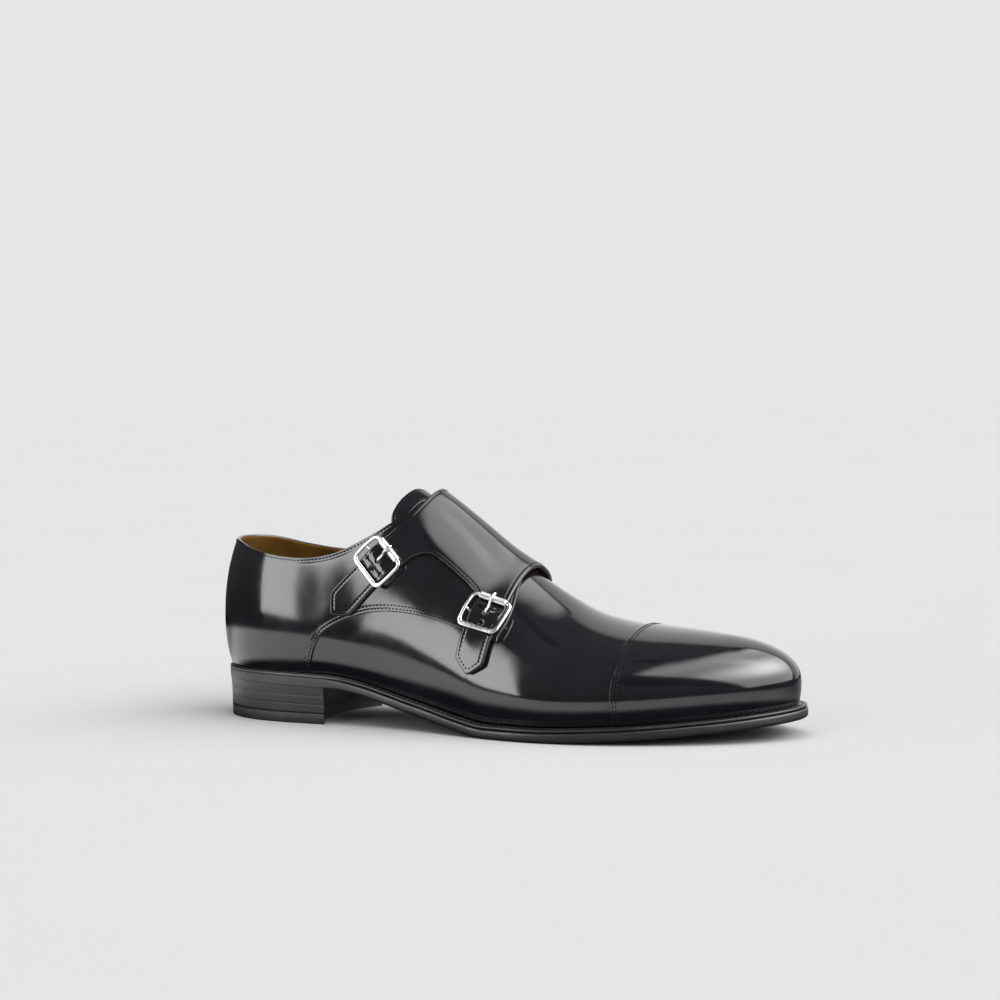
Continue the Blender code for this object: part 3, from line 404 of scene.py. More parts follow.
def spline_weights(f):
    value = np.stack([(1 - f) ** 3, 3 * f**3 - 6 * f**2 + 4, -3 * f**3 + 3 * f**2 + 3 * f + 1, f**3]) / 6
    slope = np.stack([-((1 - f) ** 2), 3 * f**2 - 4 * f, -3 * f**2 + 2 * f + 1, f**2]) / 2
    return value, slope


def net_point(q, v):
    """Point of the smoothed last and its two tangents."""
    q, v = np.broadcast_arrays(q * 1.0, v * 1.0)
    a = (q % 2) * NET_COLUMNS / 2
    i = np.floor(a).astype(int)
    b = np.clip(v, 0, 1) * NET_ROWS
    j = np.minimum(np.floor(b).astype(int), NET_ROWS - 1)
    wi, si = spline_weights(a - i)
    wj, sj = spline_weights(b - j)
    point = np.zeros(q.shape + (3,))
    along = np.zeros(q.shape + (3,))
    up = np.zeros(q.shape + (3,))
    for m in range(4):
        for n in range(4):
            tap = NET[(i + m - 1) % NET_COLUMNS, j + n - 1 + NET_START]
            point += (wi[m] * wj[n])[..., None] * tap
            along += (si[m] * wj[n])[..., None] * tap
            up += (wi[m] * sj[n])[..., None] * tap
    return point, along, up


def side_normal(q, v):
    _, along, up = net_point(q, np.minimum(v, 0.985))
    return unit(np.cross(along, up))


def skin_frame(q, v):
    """Point of the last's skin and the direction in which layers are stacked on it."""
    q, v = np.broadcast_arrays(q * 1.0, v * 1.0)
    own = side_normal(q, v)
    other = side_normal(2 - q, v)
    share = 0.5 * np.clip((v - 0.95) / 0.05, 0, 1)[..., None]
    n = own * (1 - share) + other * share
    n[..., 2] = n[..., 2] * np.clip(v / 0.12, 0, 1)
    return net_point(q, v)[0], unit(n)


def skin(q, v, lift):
    point, n = skin_frame(q, v)
    return point + n * np.asarray(lift)[..., None]


def over_place(x, g):
    """Place q and girth share v for axis station x and girth position g."""
    x, g = np.broadcast_arrays(x * 1.0, g * 1.0)
    q = place_of(x)
    return np.where(g <= 0, q, 2 - q), 1 - np.abs(g)


def on_top(x, g, lift):
    return skin(*over_place(x, g), lift)


def opening(q):
    form = section(q)
    edge = INSTEP_HEIGHT * column(COLLAR, 1, station(q) / LENGTH)
    low = np.full(q.shape, BULGE_SHARE)
    high = np.ones(q.shape)
    for _ in range(40):
        middle = (low + high) / 2
        under = girth_profile(form, middle)[1] < edge
        low = np.where(under, middle, low)
        high = np.where(under, high, middle)
    left = np.clip((SLOT_END - form["x"]) / SLOT_ROUND, 0, 1)
    slot = 1 - SLOT_WIDTH / 2 / HALF_GIRTH * np.sqrt(1 - (1 - left) ** 2)
    share = np.clip(1 - (THROAT - form["x"]) / SLOT_RUN_IN, 0, 1)
    share = share * share * (3 - 2 * share)
    edge = (low + high) / 2 * (1 - share) + slot * share
    return np.where(form["x"] > SLOT_END - 1e-6, 1.0, edge)


def quarter_seam(x):
    rows = np.array(QUARTER_SEAM)
    return smooth(rows[:, 0], rows[:, 1], np.clip(x / LENGTH, rows[0, 0], rows[-1, 0]))


def centre():
    back = WELT_REACH * REACH[0][1] - BULGE_DEPTH * WALL[0][1]
    y = outline(np.linspace(0, 2, 801))[1]
    return np.array([(LENGTH + min(back, 0)) / 2, (y.min() + y.max()) / 2, 0])


CENTRE = centre()


def in_metres(edge):
    return np.array(edge) * (LENGTH, HALF_GIRTH)


def corner_rounding(edge, times):
    edge = np.array(edge)
    for _ in range(times):
        ahead = np.roll(edge, -1, 0)
        edge = np.stack([0.75 * edge + 0.25 * ahead, 0.25 * edge + 0.75 * ahead], 1).reshape(-1, 2)
    return edge


def buckle_frame(row):
    """Centre of a buckle on the skin, with unit directions along and across its strap and outward."""
    x = np.array(row[1] * LENGTH)
    g = np.array(row[2])
    flat = np.array(0.0)
    middle = on_top(x, g, flat)
    out = unit(on_top(x, g, flat + 1e-3) - middle)
    up = on_top(x, g + 1e-3, flat) - middle
    up = unit(up - out * up.dot(out))
    toeward = np.cross(up, out)
    toeward = toeward * np.sign(toeward[0])
    turn = np.radians(row[3])
    along = up * np.cos(turn) + toeward * np.sin(turn)
    return middle, along, np.cross(out, along), out


BUCKLE_FRAMES = {row[0]: buckle_frame(row) for row in BUCKLES}


def near_buckle(row, x, g):
    middle, along, across = BUCKLE_FRAMES[row[0]][:3]
    away = on_top(x, g, np.zeros(np.shape(x))) - middle
    return away @ along, away @ across


def place_near(row, s, t):
    """Station and girth position of a point s along and t across from a buckle's centre bar."""
    s, t = np.broadcast_arrays(s * 1.0, t * 1.0)
    x = np.full(np.shape(s), row[1] * LENGTH)
    g = np.full(np.shape(s), row[2])
    e = 1e-4
    for _ in range(6):
        s0, t0 = near_buckle(row, x, g)
        s1, t1 = near_buckle(row, x + e, g)
        s2, t2 = near_buckle(row, x, g + e)
        a, b = (s1 - s0) / e, (s2 - s0) / e
        c, d = (t1 - t0) / e, (t2 - t0) / e
        ds, dt = s - s0, t - t0
        turn = a * d - b * c
        x = x + (d * ds - b * dt) / turn
        g = g + (a * dt - c * ds) / turn
    return x, g


def strap_under(x, g):
    """Lift of the flap's under face: on the quarter, higher at its front and over the centre bars."""
    away = ((x - QUARTER_FRONT) / FLAP_STAND_LENGTH) ** 2 + (g * HALF_GIRTH / (2 * FLAP_STAND_LENGTH)) ** 2
    lift = FLAP_GAP + FLAP_STAND * np.exp(-away)
    for row in BUCKLES:
        s, t = near_buckle(row, x, g)
        hump = np.exp(-((s / HUMP_LENGTH) ** 2) - (t / (0.9 * STRAP_WIDTH)) ** 4)
        lift = lift + (BAR_DIAMETER + 2 * FIT_GAP - FLAP_GAP) * hump
    return lift


def strap_edge(row):
    rows = np.array(STRAP_END)
    share = np.concatenate([rows[:, 0], rows[-2::-1, 0]])
    t = np.concatenate([rows[:, 1], -rows[-2::-1, 1]]) * STRAP_WIDTH / 2
    t = t + row[5] * np.clip(share, 0, 1) ** 2
    x, g = place_near(row, -row[4] * share, t)
    return np.stack([x, g * HALF_GIRTH], -1)


def flap_edge():
    upper, lower = (strap_edge(row) for row in BUCKLES)
    return np.concatenate([upper, in_metres(FLAP_CUT), lower, in_metres(FLAP_BODY)])


# Making of pieces

def make_piece(name, node, slot, points, faces, finishes, kinds=None, normals=None, weld=False, turn=False,
               sharp=None):
    """Smooth piece on the shoe's one body; weld joins doubled points, turn sets the faces outward."""
    mesh = bpy.data.meshes.new(name)
    points = np.reshape(points, (-1, 3)) - CENTRE
    mesh.from_pydata(points.tolist(), [], [[int(i) for i in f] for f in faces])
    for material in finishes:
        mesh.materials.append(material)
    if kinds is not None:
        mesh.polygons.foreach_set("material_index", np.asarray(kinds, dtype=np.int32))
    mesh.polygons.foreach_set("use_smooth", np.ones(len(mesh.polygons), dtype=bool))
    if weld or turn:
        body = bmesh.new()
        body.from_mesh(mesh)
        if weld:
            bmesh.ops.remove_doubles(body, verts=body.verts, dist=1e-6)
            bmesh.ops.dissolve_degenerate(body, edges=body.edges, dist=1e-8)
        bmesh.ops.recalc_face_normals(body, faces=body.faces)
        if body.calc_volume(signed=True) < 0:
            bmesh.ops.reverse_faces(body, faces=body.faces)
        body.normal_update()
        for edge in body.edges:
            if sharp and len(edge.link_faces) == 2 and edge.calc_face_angle(0) > sharp:
                edge.smooth = False
        body.to_mesh(mesh)
        body.free()
    if normals is not None:
        mesh.normals_split_custom_set_from_vertices(normals.tolist())
    mesh.update()
    made = bpy.data.objects.new(name, mesh)
    bpy.context.scene.collection.objects.link(made)
    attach(made, "root")
    if node:
        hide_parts(node)


def grid_faces(rows, columns, start=0, around=False):
    """Quads of a grid stored row by row; around joins the last column to the first."""
    i = np.arange(rows - 1)[:, None]
    j = np.arange(columns if around else columns - 1)[None]
    k = (j + 1) % columns
    a = start + i * columns
    b = a + columns
    return np.stack([a + j, a + k, b + k, b + j], -1).reshape(-1, 4)


def inside(edge, x, y):
    """Which points lie inside a closed polygon."""
    x1, y1 = edge[:, 0], edge[:, 1]
    x2, y2 = np.roll(x1, -1), np.roll(y1, -1)
    safe = np.where(y2 == y1, 1, y2 - y1)
    result = np.zeros(len(x), dtype=bool)
    for start in range(0, len(x), 4000):
        px = x[start:start + 4000, None]
        py = y[start:start + 4000, None]
        crossing = (y1 > py) != (y2 > py)
        result[start:start + 4000] = np.sum(crossing & (px < (x2 - x1) * (py - y1) / safe + x1), 1) % 2 == 1
    return result


def distance_from(loops, points):
    """Distance of each point from the nearest of some closed polylines."""
    best = np.full(len(points), 1.0)
    for loop in loops:
        count = len(loop)
        squares = (loop**2).sum(1)
        nearest = np.empty(len(points), dtype=int)
        for start in range(0, len(points), 4000):
            part = points[start:start + 4000]
            nearest[start:start + 4000] = np.argmin(squares - 2 * part @ loop.T, 1)
        for shift in (-1, 0):
            a = loop[(nearest + shift) % count]
            b = loop[(nearest + shift + 1) % count]
            run = b - a
            share = np.clip(((points - a) * run).sum(1) / np.maximum((run**2).sum(1), 1e-18), 0, 1)
            best = np.minimum(best, np.linalg.norm(points - a - run * share[:, None], axis=1))
    return best


def resampled(edge, place, step):
    """Closed edge in the flat pattern, with points at even distances over the last."""
    ahead = np.roll(edge, -1, 0)
    fine = np.concatenate([edge + (ahead - edge) * k / 8 for k in range(8)], 1).reshape(-1, 2)
    points = skin_frame(*place(fine[:, 0], fine[:, 1]))[0]
    length = lengths(np.concatenate([points, points[:1]]))
    count = int(length[-1] / step)
    at = np.linspace(0, length[-1], count, endpoint=False)
    closed = np.concatenate([fine, fine[:1]])
    return np.stack([np.interp(at, length, closed[:, k]) for k in range(2)], -1)


def inward(loop, place):
    """For each point of a closed loop, the step in the pattern that goes one metre inwards."""
    e = 1e-4
    u, w = loop[:, 0], loop[:, 1]
    base = skin_frame(*place(u, w))[0]
    du = (skin_frame(*place(u + e, w))[0] - base) / e
    dw = (skin_frame(*place(u, w + e))[0] - base) / e
    run = unit(np.roll(base, -1, 0) - np.roll(base, 1, 0))
    n = unit(np.cross(du, dw))
    area = np.sum(u * np.roll(w, -1) - np.roll(u, -1) * w)
    side = np.cross(n, run) * np.sign(area)
    aa, ab, bb = (du * du).sum(1), (du * dw).sum(1), (dw * dw).sum(1)
    ra, rb = (side * du).sum(1), (side * dw).sum(1)
    det = aa * bb - ab * ab
    return np.stack([(ra * bb - rb * ab) / det, (rb * aa - ra * ab) / det], -1)


# Distances of the extra rows of points along a panel's edge, and sizes of those round a hole
HOLE_ROWS = (1.15, 1.4, 1.8, 2.4)
EDGE_ROWS = np.array([0.03, 0.09, 0.18, 0.30, 0.45, 0.7, 1.0, 1.3, 1.6, 1.9, 2.2, 2.5, 2.9, 3.5, 4.3]) * 1e-3


class Panel:
    """Leather panel over the last: pattern loops in a flat plane, a top surface and a thickness."""

    def __init__(self, edge, holes, place, top, under, step=0.0008):
        self.place = place
        self.top = top
        self.under = under
        self.edge = resampled(edge, place, step)
        self.holes = [resampled(hole, place, step / 4) for hole in holes]
        self.lines = [self.at(loop)[0] for loop in [self.edge] + self.holes]

    def at(self, flat):
        return skin_frame(*self.place(flat[:, 0], flat[:, 1]))

    def surface(self, flat):
        point, n = self.at(flat)
        d = distance_from(self.lines[:1], point)
        hole = distance_from(self.lines[1:], point)
        lift = self.top(flat[:, 0], flat[:, 1], d, hole)
        return point + n * lift[:, None], n

    def normals(self, flat):
        e = 1.5e-5
        across = self.surface(flat + (e, 0))[0] - self.surface(flat - (e, 0))[0]
        upward = self.surface(flat + (0, e))[0] - self.surface(flat - (0, e))[0]
        n = unit(np.cross(across, upward))
        out = self.at(flat)[1]
        return n * np.where((n * out).sum(1) < 0, -1, 1)[:, None]

    def build(self, name, node, spacing, finishes, bottom_finish=0, wall_finish=0):
        """Triangles over the pattern, closer near its edge, with a flat underside and a wall between."""
        step_in = inward(self.edge, self.place)
        spots = [self.edge] + self.holes
        edges = []
        first = 0
        for loop in spots:
            ids = np.arange(first, first + len(loop))
            edges += np.stack([ids, np.roll(ids, -1)], -1).tolist()
            first += len(loop)
        for d in EDGE_ROWS:
            flat = self.edge + step_in * d
            flat = flat[inside(self.edge, flat[:, 0], flat[:, 1])]
            real = distance_from(self.lines[:1], self.at(flat)[0])
            spots.append(flat[real > 0.96 * d])
        for hole in self.holes:
            middle = hole.mean(0)
            for grow in HOLE_ROWS:
                spots.append(middle + (hole - middle) * grow)
        low, high = self.edge.min(0), self.edge.max(0)
        ys = np.arange(low[1], high[1], spacing * 0.87)
        xs = np.arange(low[0], high[0], spacing)
        grid = np.stack(np.meshgrid(xs, ys), -1)
        grid[1::2, :, 0] += spacing / 2
        grid = grid.reshape(-1, 2)
        grid = grid[inside(self.edge, grid[:, 0], grid[:, 1])]
        place = self.at(grid)[0]
        far = distance_from(self.lines[:1], place) > EDGE_ROWS[-1] + 0.4 * spacing
        if self.holes:
            far &= distance_from(self.lines[1:], place) > STRAP_HOLE
        spots.append(grid[far])
        flat = np.concatenate(spots)
        made = delaunay_2d_cdt([Vector(p) for p in flat.tolist()], edges, [], 0, 1e-9)
        flat = np.array([tuple(p) for p in made[0]])
        triangles = np.array([t for t in made[2] if len(t) == 3])
        middle = flat[triangles].mean(1)
        keep = inside(self.edge, middle[:, 0], middle[:, 1])
        for hole in self.holes:
            keep &= ~inside(hole, middle[:, 0], middle[:, 1])
        triangles = triangles[keep]
        used, index = np.unique(triangles, return_inverse=True)
        triangles = index.reshape(-1, 3)
        flat = flat[used]
        top_points = self.surface(flat)[0]
        normals = self.normals(flat)
        base, out = self.at(flat)
        low_points = base + out * self.under(flat[:, 0], flat[:, 1])[:, None]
        turned = np.cross(top_points[triangles[:, 1]] - top_points[triangles[:, 0]],
                          top_points[triangles[:, 2]] - top_points[triangles[:, 0]])
        flip = (turned * out[triangles[:, 0]]).sum(1) < 0
        triangles[flip] = triangles[flip][:, ::-1]
        pairs = np.concatenate([triangles[:, [0, 1]], triangles[:, [1, 2]], triangles[:, [2, 0]]])
        known = {(int(a), int(b)) for a, b in pairs}
        border = [(a, b) for a, b in known if (b, a) not in known]
        border.sort()
        count = len(flat)
        rim = sorted({a for a, _ in border} | {b for _, b in border})
        rim_of = {a: i for i, a in enumerate(rim)}
        out_rim = np.zeros((len(rim), 3))
        for a, b in border:
            push = unit(np.cross(top_points[b] - top_points[a], out[a]))
            out_rim[rim_of[a]] += push
            out_rim[rim_of[b]] += push
        out_rim = unit(out_rim)
        for a in rim:
            if distance_from(self.lines, top_points[a:a + 1])[0] < 1e-3:
                normals[a] = unit(out_rim[rim_of[a]] + 0.35 * out[a])
        points = np.concatenate([top_points, low_points, top_points[rim], low_points[rim]])
        faces = triangles.tolist() + (count + triangles[:, ::-1]).tolist()
        start = 2 * count
        size = len(rim)
        for a, b in border:
            i, j = rim_of[a], rim_of[b]
            faces.append((start + j, start + i, start + size + i, start + size + j))
        kinds = [0] * len(triangles) + [bottom_finish] * len(triangles) + [wall_finish] * len(border)
        all_normals = np.concatenate([normals, -out, out_rim, out_rim])
        make_piece(name, node, "upper_leather", points, faces, finishes, kinds, all_normals)

    def line(self, inset, keep=None):
        """Runs of points along the edge at an inset, with their normals, for stitching."""
        flat = self.edge + inward(self.edge, self.place) * inset
        real = distance_from(self.lines[:1], self.at(flat)[0])
        good = real > 0.97 * inset
        if keep is not None:
            good &= keep(flat[:, 0], flat[:, 1])
        return runs_of(*self.surface(flat), good)


def runs_of(points, normals, good):
    """Splits a closed row of points into its runs of good points."""
    if good.all():
        return [(np.concatenate([points, points[:1]]), np.concatenate([normals, normals[:1]]))]
    first = int(np.argmin(good))
    order = np.roll(np.arange(len(good)), -first)
    runs = []
    run = []
    for i in order:
        if good[i]:
            run.append(i)
        elif run:
            runs.append(run)
            run = []
    if run:
        runs.append(run)
    return [(points[r], normals[r]) for r in runs if len(r) > 3]


def stitch_rows(name, rows, pitch=0.0020, length=0.00140, width=0.00066, rise=0.00002, slant=12.0,
                slot="upper_leather"):
    """Row of single stitches, each a small thread capsule that dips at both ends."""
    along = np.array([-0.5, -0.43, -0.24, 0.0, 0.24, 0.43, 0.5]) * length
    size = np.array([0.18, 0.72, 1.0, 1.0, 1.0, 0.72, 0.18])
    height = np.array([-0.16, -0.07, 0.02, 0.04, 0.02, -0.07, -0.16]) * 1e-3 + rise
    sides = 7
    turn = circle(sides)
    points, faces = [], []
    for path, up in rows:
        total = lengths(path)
        count = int(total[-1] / pitch)
        if count < 1:
            continue
        at = (np.arange(count) + 0.5) * total[-1] / count

        def sample(values, where):
            return np.stack([np.interp(where, total, values[:, k]) for k in range(3)], -1)

        middle = sample(path, at)
        n = unit(sample(up, at))
        t = sample(path, at + 0.3 * pitch) - sample(path, at - 0.3 * pitch)
        t = unit(t - n * (t * n).sum(1, keepdims=True))
        b = np.cross(n, t)
        angle = np.radians(slant)
        t = t * np.cos(angle) + b * np.sin(angle)
        b = np.cross(n, t)
        ring = b[:, None] * np.cos(turn)[None, :, None] * width / 2
        ring = ring + n[:, None] * np.sin(turn)[None, :, None] * 0.8 * width / 2
        for s in range(count):
            start = len(points) * sides
            for a, r, h in zip(along, size, height):
                points.append(middle[s] + t[s] * a + n[s] * h + ring[s] * r)
            faces.append(grid_faces(len(along), sides, start, True))
            last = start + (len(along) - 1) * sides
            faces.append([tuple(range(start + sides - 1, start - 1, -1)), tuple(range(last, last + sides))])
    make_piece(name, None, slot, points, [f for group in faces for f in group], [THREAD])


# Finishes

def new_material(name):
    made = bpy.data.materials.new(name)
    made.use_nodes = True
    return made, made.node_tree, made.node_tree.nodes["Principled BSDF"]


def joined(tree, kind, links=None, values=None, **settings):
    """New shader node with linked inputs, plain input values and settings."""
    node = tree.nodes.new(kind)
    for key, value in settings.items():
        setattr(node, key, value)
    for key, socket in (links or {}).items():
        tree.links.new(socket, node.inputs[key])
    for key, value in (values or {}).items():
        node.inputs[key].default_value = value
    return node


def pattern(tree, coords, kind, scale, detail=4.0, rough=0.55, stretch=None):
    """Noise or cells over a piece; stretch scales the three directions apart."""
    if stretch:
        coords = joined(tree, "ShaderNodeMapping", {"Vector": coords}, {"Scale": stretch}).outputs["Vector"]
    if kind == "cells":
        return joined(tree, "ShaderNodeTexVoronoi", {"Vector": coords}, {"Scale": scale}).outputs["Distance"]
    values = {"Scale": scale, "Detail": detail, "Roughness": rough}
    return joined(tree, "ShaderNodeTexNoise", {"Vector": coords}, values).outputs["Fac"]


def finish(name, cloud, stops, rough, bumps, values=None):
    """Clouded colour, roughness (one value, or noise scale, detail, low and high) and a chain of bumps."""
    made, tree, shader = new_material(name)
    coords = joined(tree, "ShaderNodeTexCoord").outputs["Object"]
    ramp = joined(tree, "ShaderNodeValToRGB", {"Fac": pattern(tree, coords, *cloud)})
    while len(ramp.color_ramp.elements) < len(stops):
        ramp.color_ramp.elements.new(0.5)
    for element, (place, colour) in zip(ramp.color_ramp.elements, stops):
        element.position = place
        element.color = (*colour, 1.0)
    links = {"Base Color": ramp.outputs["Color"]}
    values = dict(values or {})
    if isinstance(rough, float):
        values["Roughness"] = rough
    else:
        spread = {"From Min": 0.3, "From Max": 0.7, "To Min": rough[2], "To Max": rough[3]}
        value = pattern(tree, coords, "noise", rough[0], rough[1])
        links["Roughness"] = joined(tree, "ShaderNodeMapRange", {"Value": value}, spread).outputs["Result"]
    below = {}
    for kind, strength, distance in bumps:
        below["Height"] = pattern(tree, coords, *kind)
        node = joined(tree, "ShaderNodeBump", below, {"Strength": strength, "Distance": distance})
        below["Normal"] = links["Normal"] = node.outputs["Normal"]
    for key, socket in links.items():
        tree.links.new(socket, shader.inputs[key])
    for key, value in values.items():
        shader.inputs[key].default_value = value
    return made


EDGE_LAYERS = ("noise", 1.0, 4, 0.55, (30, 30, 900))
BRUSHED = ("noise", 1.0, 3, 0.55, (300, 4000, 4000))
TWIST = ("cells", 1.0, 0, 0, (3000, 3000, 6500))

BLACK = finish(
    "calf_black", ("noise", 45, 3), ((0.3, (0.0072, 0.0066, 0.0088)), (0.7, (0.0118, 0.0108, 0.0140))),
    (160, 5, 0.085, 0.13),
    ((("noise", 42, 2), 0.6, 0.00013), (("noise", 260, 4), 0.30, 0.00003), (("cells", 1500), 0.20, 0.00002),
     (("noise", 2600, 3), 0.20, 0.00001)),
    {"Coat Weight": 0.20, "Coat Roughness": 0.05},
)
TAN = finish(
    "lining_tan", ("noise", 70, 5),
    ((0.25, (0.090, 0.038, 0.004)), (0.5, (0.150, 0.068, 0.008)), (0.78, (0.230, 0.112, 0.018))), 0.85,
    ((("noise", 300, 5), 0.5, 0.00012), (("cells", 1700), 0.4, 0.00008), (("noise", 3800, 3), 0.4, 0.00005)),
    {"Specular IOR Level": 0.12},
)
# Painted cut edge of the straps, with tan fibres showing through at places
PAINT = finish(
    "edge_black", ("noise", 900, 5, 0.7), ((0.52, (0.010, 0.009, 0.009)), (0.66, (0.18, 0.085, 0.02))), 0.5,
    ((("noise", 1500, 4), 0.5, 0.00008),),
)
THREAD = finish(
    "thread_black", ("noise", 700, 2), ((0.35, (0.0025, 0.0025, 0.003)), (0.7, (0.007, 0.007, 0.0075))), 0.7,
    ((TWIST, 0.5, 0.00005),), {"Specular IOR Level": 0.18},
)
SOLE_EDGE = finish(
    "sole_edge_black", EDGE_LAYERS, ((0.3, (0.014, 0.0135, 0.015)), (0.75, (0.025, 0.024, 0.027))),
    (300, 4, 0.28, 0.42), ((EDGE_LAYERS, 0.12, 0.00001), (("noise", 420, 4), 0.3, 0.00006)),
)
SOLE_UNDER = finish(
    "sole_leather_dark", ("noise", 26, 5), ((0.3, (0.008, 0.011, 0.009)), (0.7, (0.016, 0.021, 0.017))),
    (120, 4, 0.26, 0.40), ((("noise", 60, 3), 0.3, 0.00010), (("noise", 900, 4), 0.3, 0.00004)),
)
RUBBER = finish(
    "rubber_black", ("noise", 220, 4), ((0.3, (0.010, 0.010, 0.010)), (0.7, (0.018, 0.018, 0.018))), 0.58,
    ((("noise", 1300, 4), 0.4, 0.00008),),
)
METAL, ROLLER_METAL = (
    finish(
        name, ("noise", 300, 3), ((0.3, (0.66, 0.65, 0.63)), (0.7, (0.76, 0.75, 0.73))),
        (500, 5, low, low + 0.10), ((("noise", 700, 3), 0.15, 0.00003), (BRUSHED, 0.10, 0.00001)),
        {"Metallic": 1.0},
    )
    for name, low in (("nickel_polished", 0.20), ("nickel_satin", 0.34))
)


# Upper

def closed_grid(outer, inner, around, rim=True):
    """Faces of a wall between two equal grids; rim tells in which columns the last row is an open edge."""
    rows, columns = outer.shape[:2]
    start = rows * columns
    faces = [grid_faces(rows, columns, 0, around), grid_faces(rows, columns, start, around)[:, ::-1]]
    j = np.arange(columns if around else columns - 1)
    k = (j + 1) % columns
    faces.append(np.stack([k, j, start + j, start + k], -1))
    top = (rows - 1) * columns
    edge = np.broadcast_to(rim, columns)
    j, k = j[edge[j] | edge[k]], k[edge[j] | edge[k]]
    faces.append(np.stack([top + j, top + k, start + top + k, start + top + j], -1))
    if not around:
        i = np.arange(rows - 1) * columns
        faces.append(np.stack([i, i + columns, start + i + columns, start + i], -1))
        i = i + columns - 1
        faces.append(np.stack([i + columns, i, start + i, start + i + columns], -1))
    return np.concatenate([outer.reshape(-1, 3), inner.reshape(-1, 3)]), np.concatenate(faces)


# Soft folds on the vamp and quarters: station, girth position, half length, half width, turn, depth
FOLDS = (
    (0.1825, -0.34, 0.013, 0.0034, 66.0, 0.00003),
    (0.1900, -0.28, 0.018, 0.0044, 72.0, 0.00004),
    (0.1860, 0.26, 0.016, 0.0036, -68.0, 0.00005),
    (0.0780, -0.64, 0.010, 0.0026, 22.0, 0.00007),
    (0.0880, -0.66, 0.012, 0.0030, 12.0, 0.00006),
    (0.1060, -0.60, 0.016, 0.0036, 6.0, 0.00006),
    (0.0700, -0.93, 0.014, 0.0026, -3.0, 0.00006),
    (0.0960, -0.92, 0.016, 0.0028, 4.0, 0.00005),
)


def folds(x, g):
    """Depth of the listed creases, each a soft trough beside a low ridge."""
    total = np.zeros(np.shape(x))
    for at_x, at_g, length, width, turn, depth in FOLDS:
        a = np.radians(turn)
        dx = x - at_x
        dy = (g - at_g) * HALF_GIRTH
        s = (dx * np.cos(a) + dy * np.sin(a)) / length
        t = (-dx * np.sin(a) + dy * np.cos(a)) / width
        total += depth * np.exp(-s**2) * (np.exp(-t**2) - 0.45 * np.exp(-((t - 1.7) ** 2)))
    return total


def signed_g(q, v):
    return np.where(q % 2 <= 1, -(1 - v), 1 - v)


def make_shell(name, material, slot, columns, rows, margin, depth, inner_depth, crease):
    """Closed layer of the upper, from the feather to the collar and the throat slot."""
    q = np.arange(columns) * 2 / columns
    rim = opening(q)
    is_open = rim < 1 - 1e-6
    v = np.linspace(0, 1, rows)[:, None] * np.where(is_open, rim - margin, 1.0)
    Q = np.broadcast_to(q, v.shape)
    outer = skin(Q, v, -depth - crease * folds(axis_station(Q), signed_g(Q, v)))
    inner = skin(Q, v, -inner_depth + 0 * v)
    make_piece(name, "upper", slot, *closed_grid(outer, inner, True, is_open), [material], weld=True)


def round_over(d, radius=EDGE_ROUND):
    near = 1 - np.clip(d / radius, 0, 1)
    return radius * (1 - np.sqrt(1 - near**2))


def trough(d, inset=STITCH_INSET, depth=STITCH_TROUGH, width=TROUGH_WIDTH):
    return depth * np.exp(-(((d - inset) / width) ** 2))


def make_cap():
    """Toe cap: from its seam round the toe, with a rolled edge and two sewn rows."""
    seam = float(place_of(CAP_SEAM))
    per_metre = 1 / (LENGTH * np.pi / 2 * np.sin(np.pi * seam))
    near = np.concatenate([[0], EDGE_ROWS * per_metre])
    far = np.linspace(seam + near[-1] + 0.004, 1, 96)
    half = np.concatenate([seam + near, far])
    q = np.concatenate([half, 2 - half[-2::-1]])
    v = np.linspace(0, 1, 84)
    V, Q = np.meshgrid(v, q, indexing="ij")
    start = skin_frame(np.where(Q <= 1, seam, 2 - seam), V)[0]
    here, _ = skin_frame(Q, V)
    d = np.linalg.norm(here - start, axis=-1)
    lift = -round_over(d) - trough(d) - trough(d, SECOND_ROW)
    outer = skin(Q, V, lift)
    inner = skin(Q, V, -OVERLAY_STEP - LAYER_GAP + 0 * V)
    points, faces = closed_grid(outer, inner, False, False)
    make_piece("toe_cap", "upper", "upper_leather", points, faces, [BLACK], weld=True)
    rows = []
    v = np.linspace(0.015, 0.995, 240)
    for inset in (STITCH_INSET, SECOND_ROW):
        at = seam + inset * per_metre
        for place in (at, 2 - at):
            point, out = skin_frame(place, v)
            rows.append((point - out * STITCH_TROUGH, out))
    stitch_rows("stitches_cap", rows)


# Flat pattern of the quarters: distance round the heel, girth share times the half girth
ROUND_Q = np.linspace(-1, 1, 4001)
ROUND_LENGTH = lengths(np.stack(outline(ROUND_Q), -1))
ROUND_LENGTH = ROUND_LENGTH - np.interp(0, ROUND_Q, ROUND_LENGTH)


def round_place(u, w):
    """Place q and girth share for the quarter's flat pattern; u is positive to the lateral side."""
    return np.interp(u, ROUND_LENGTH, ROUND_Q), w / HALF_GIRTH


def round_flat(q, v):
    return np.stack([np.interp(q, ROUND_Q, ROUND_LENGTH), v * HALF_GIRTH], -1)


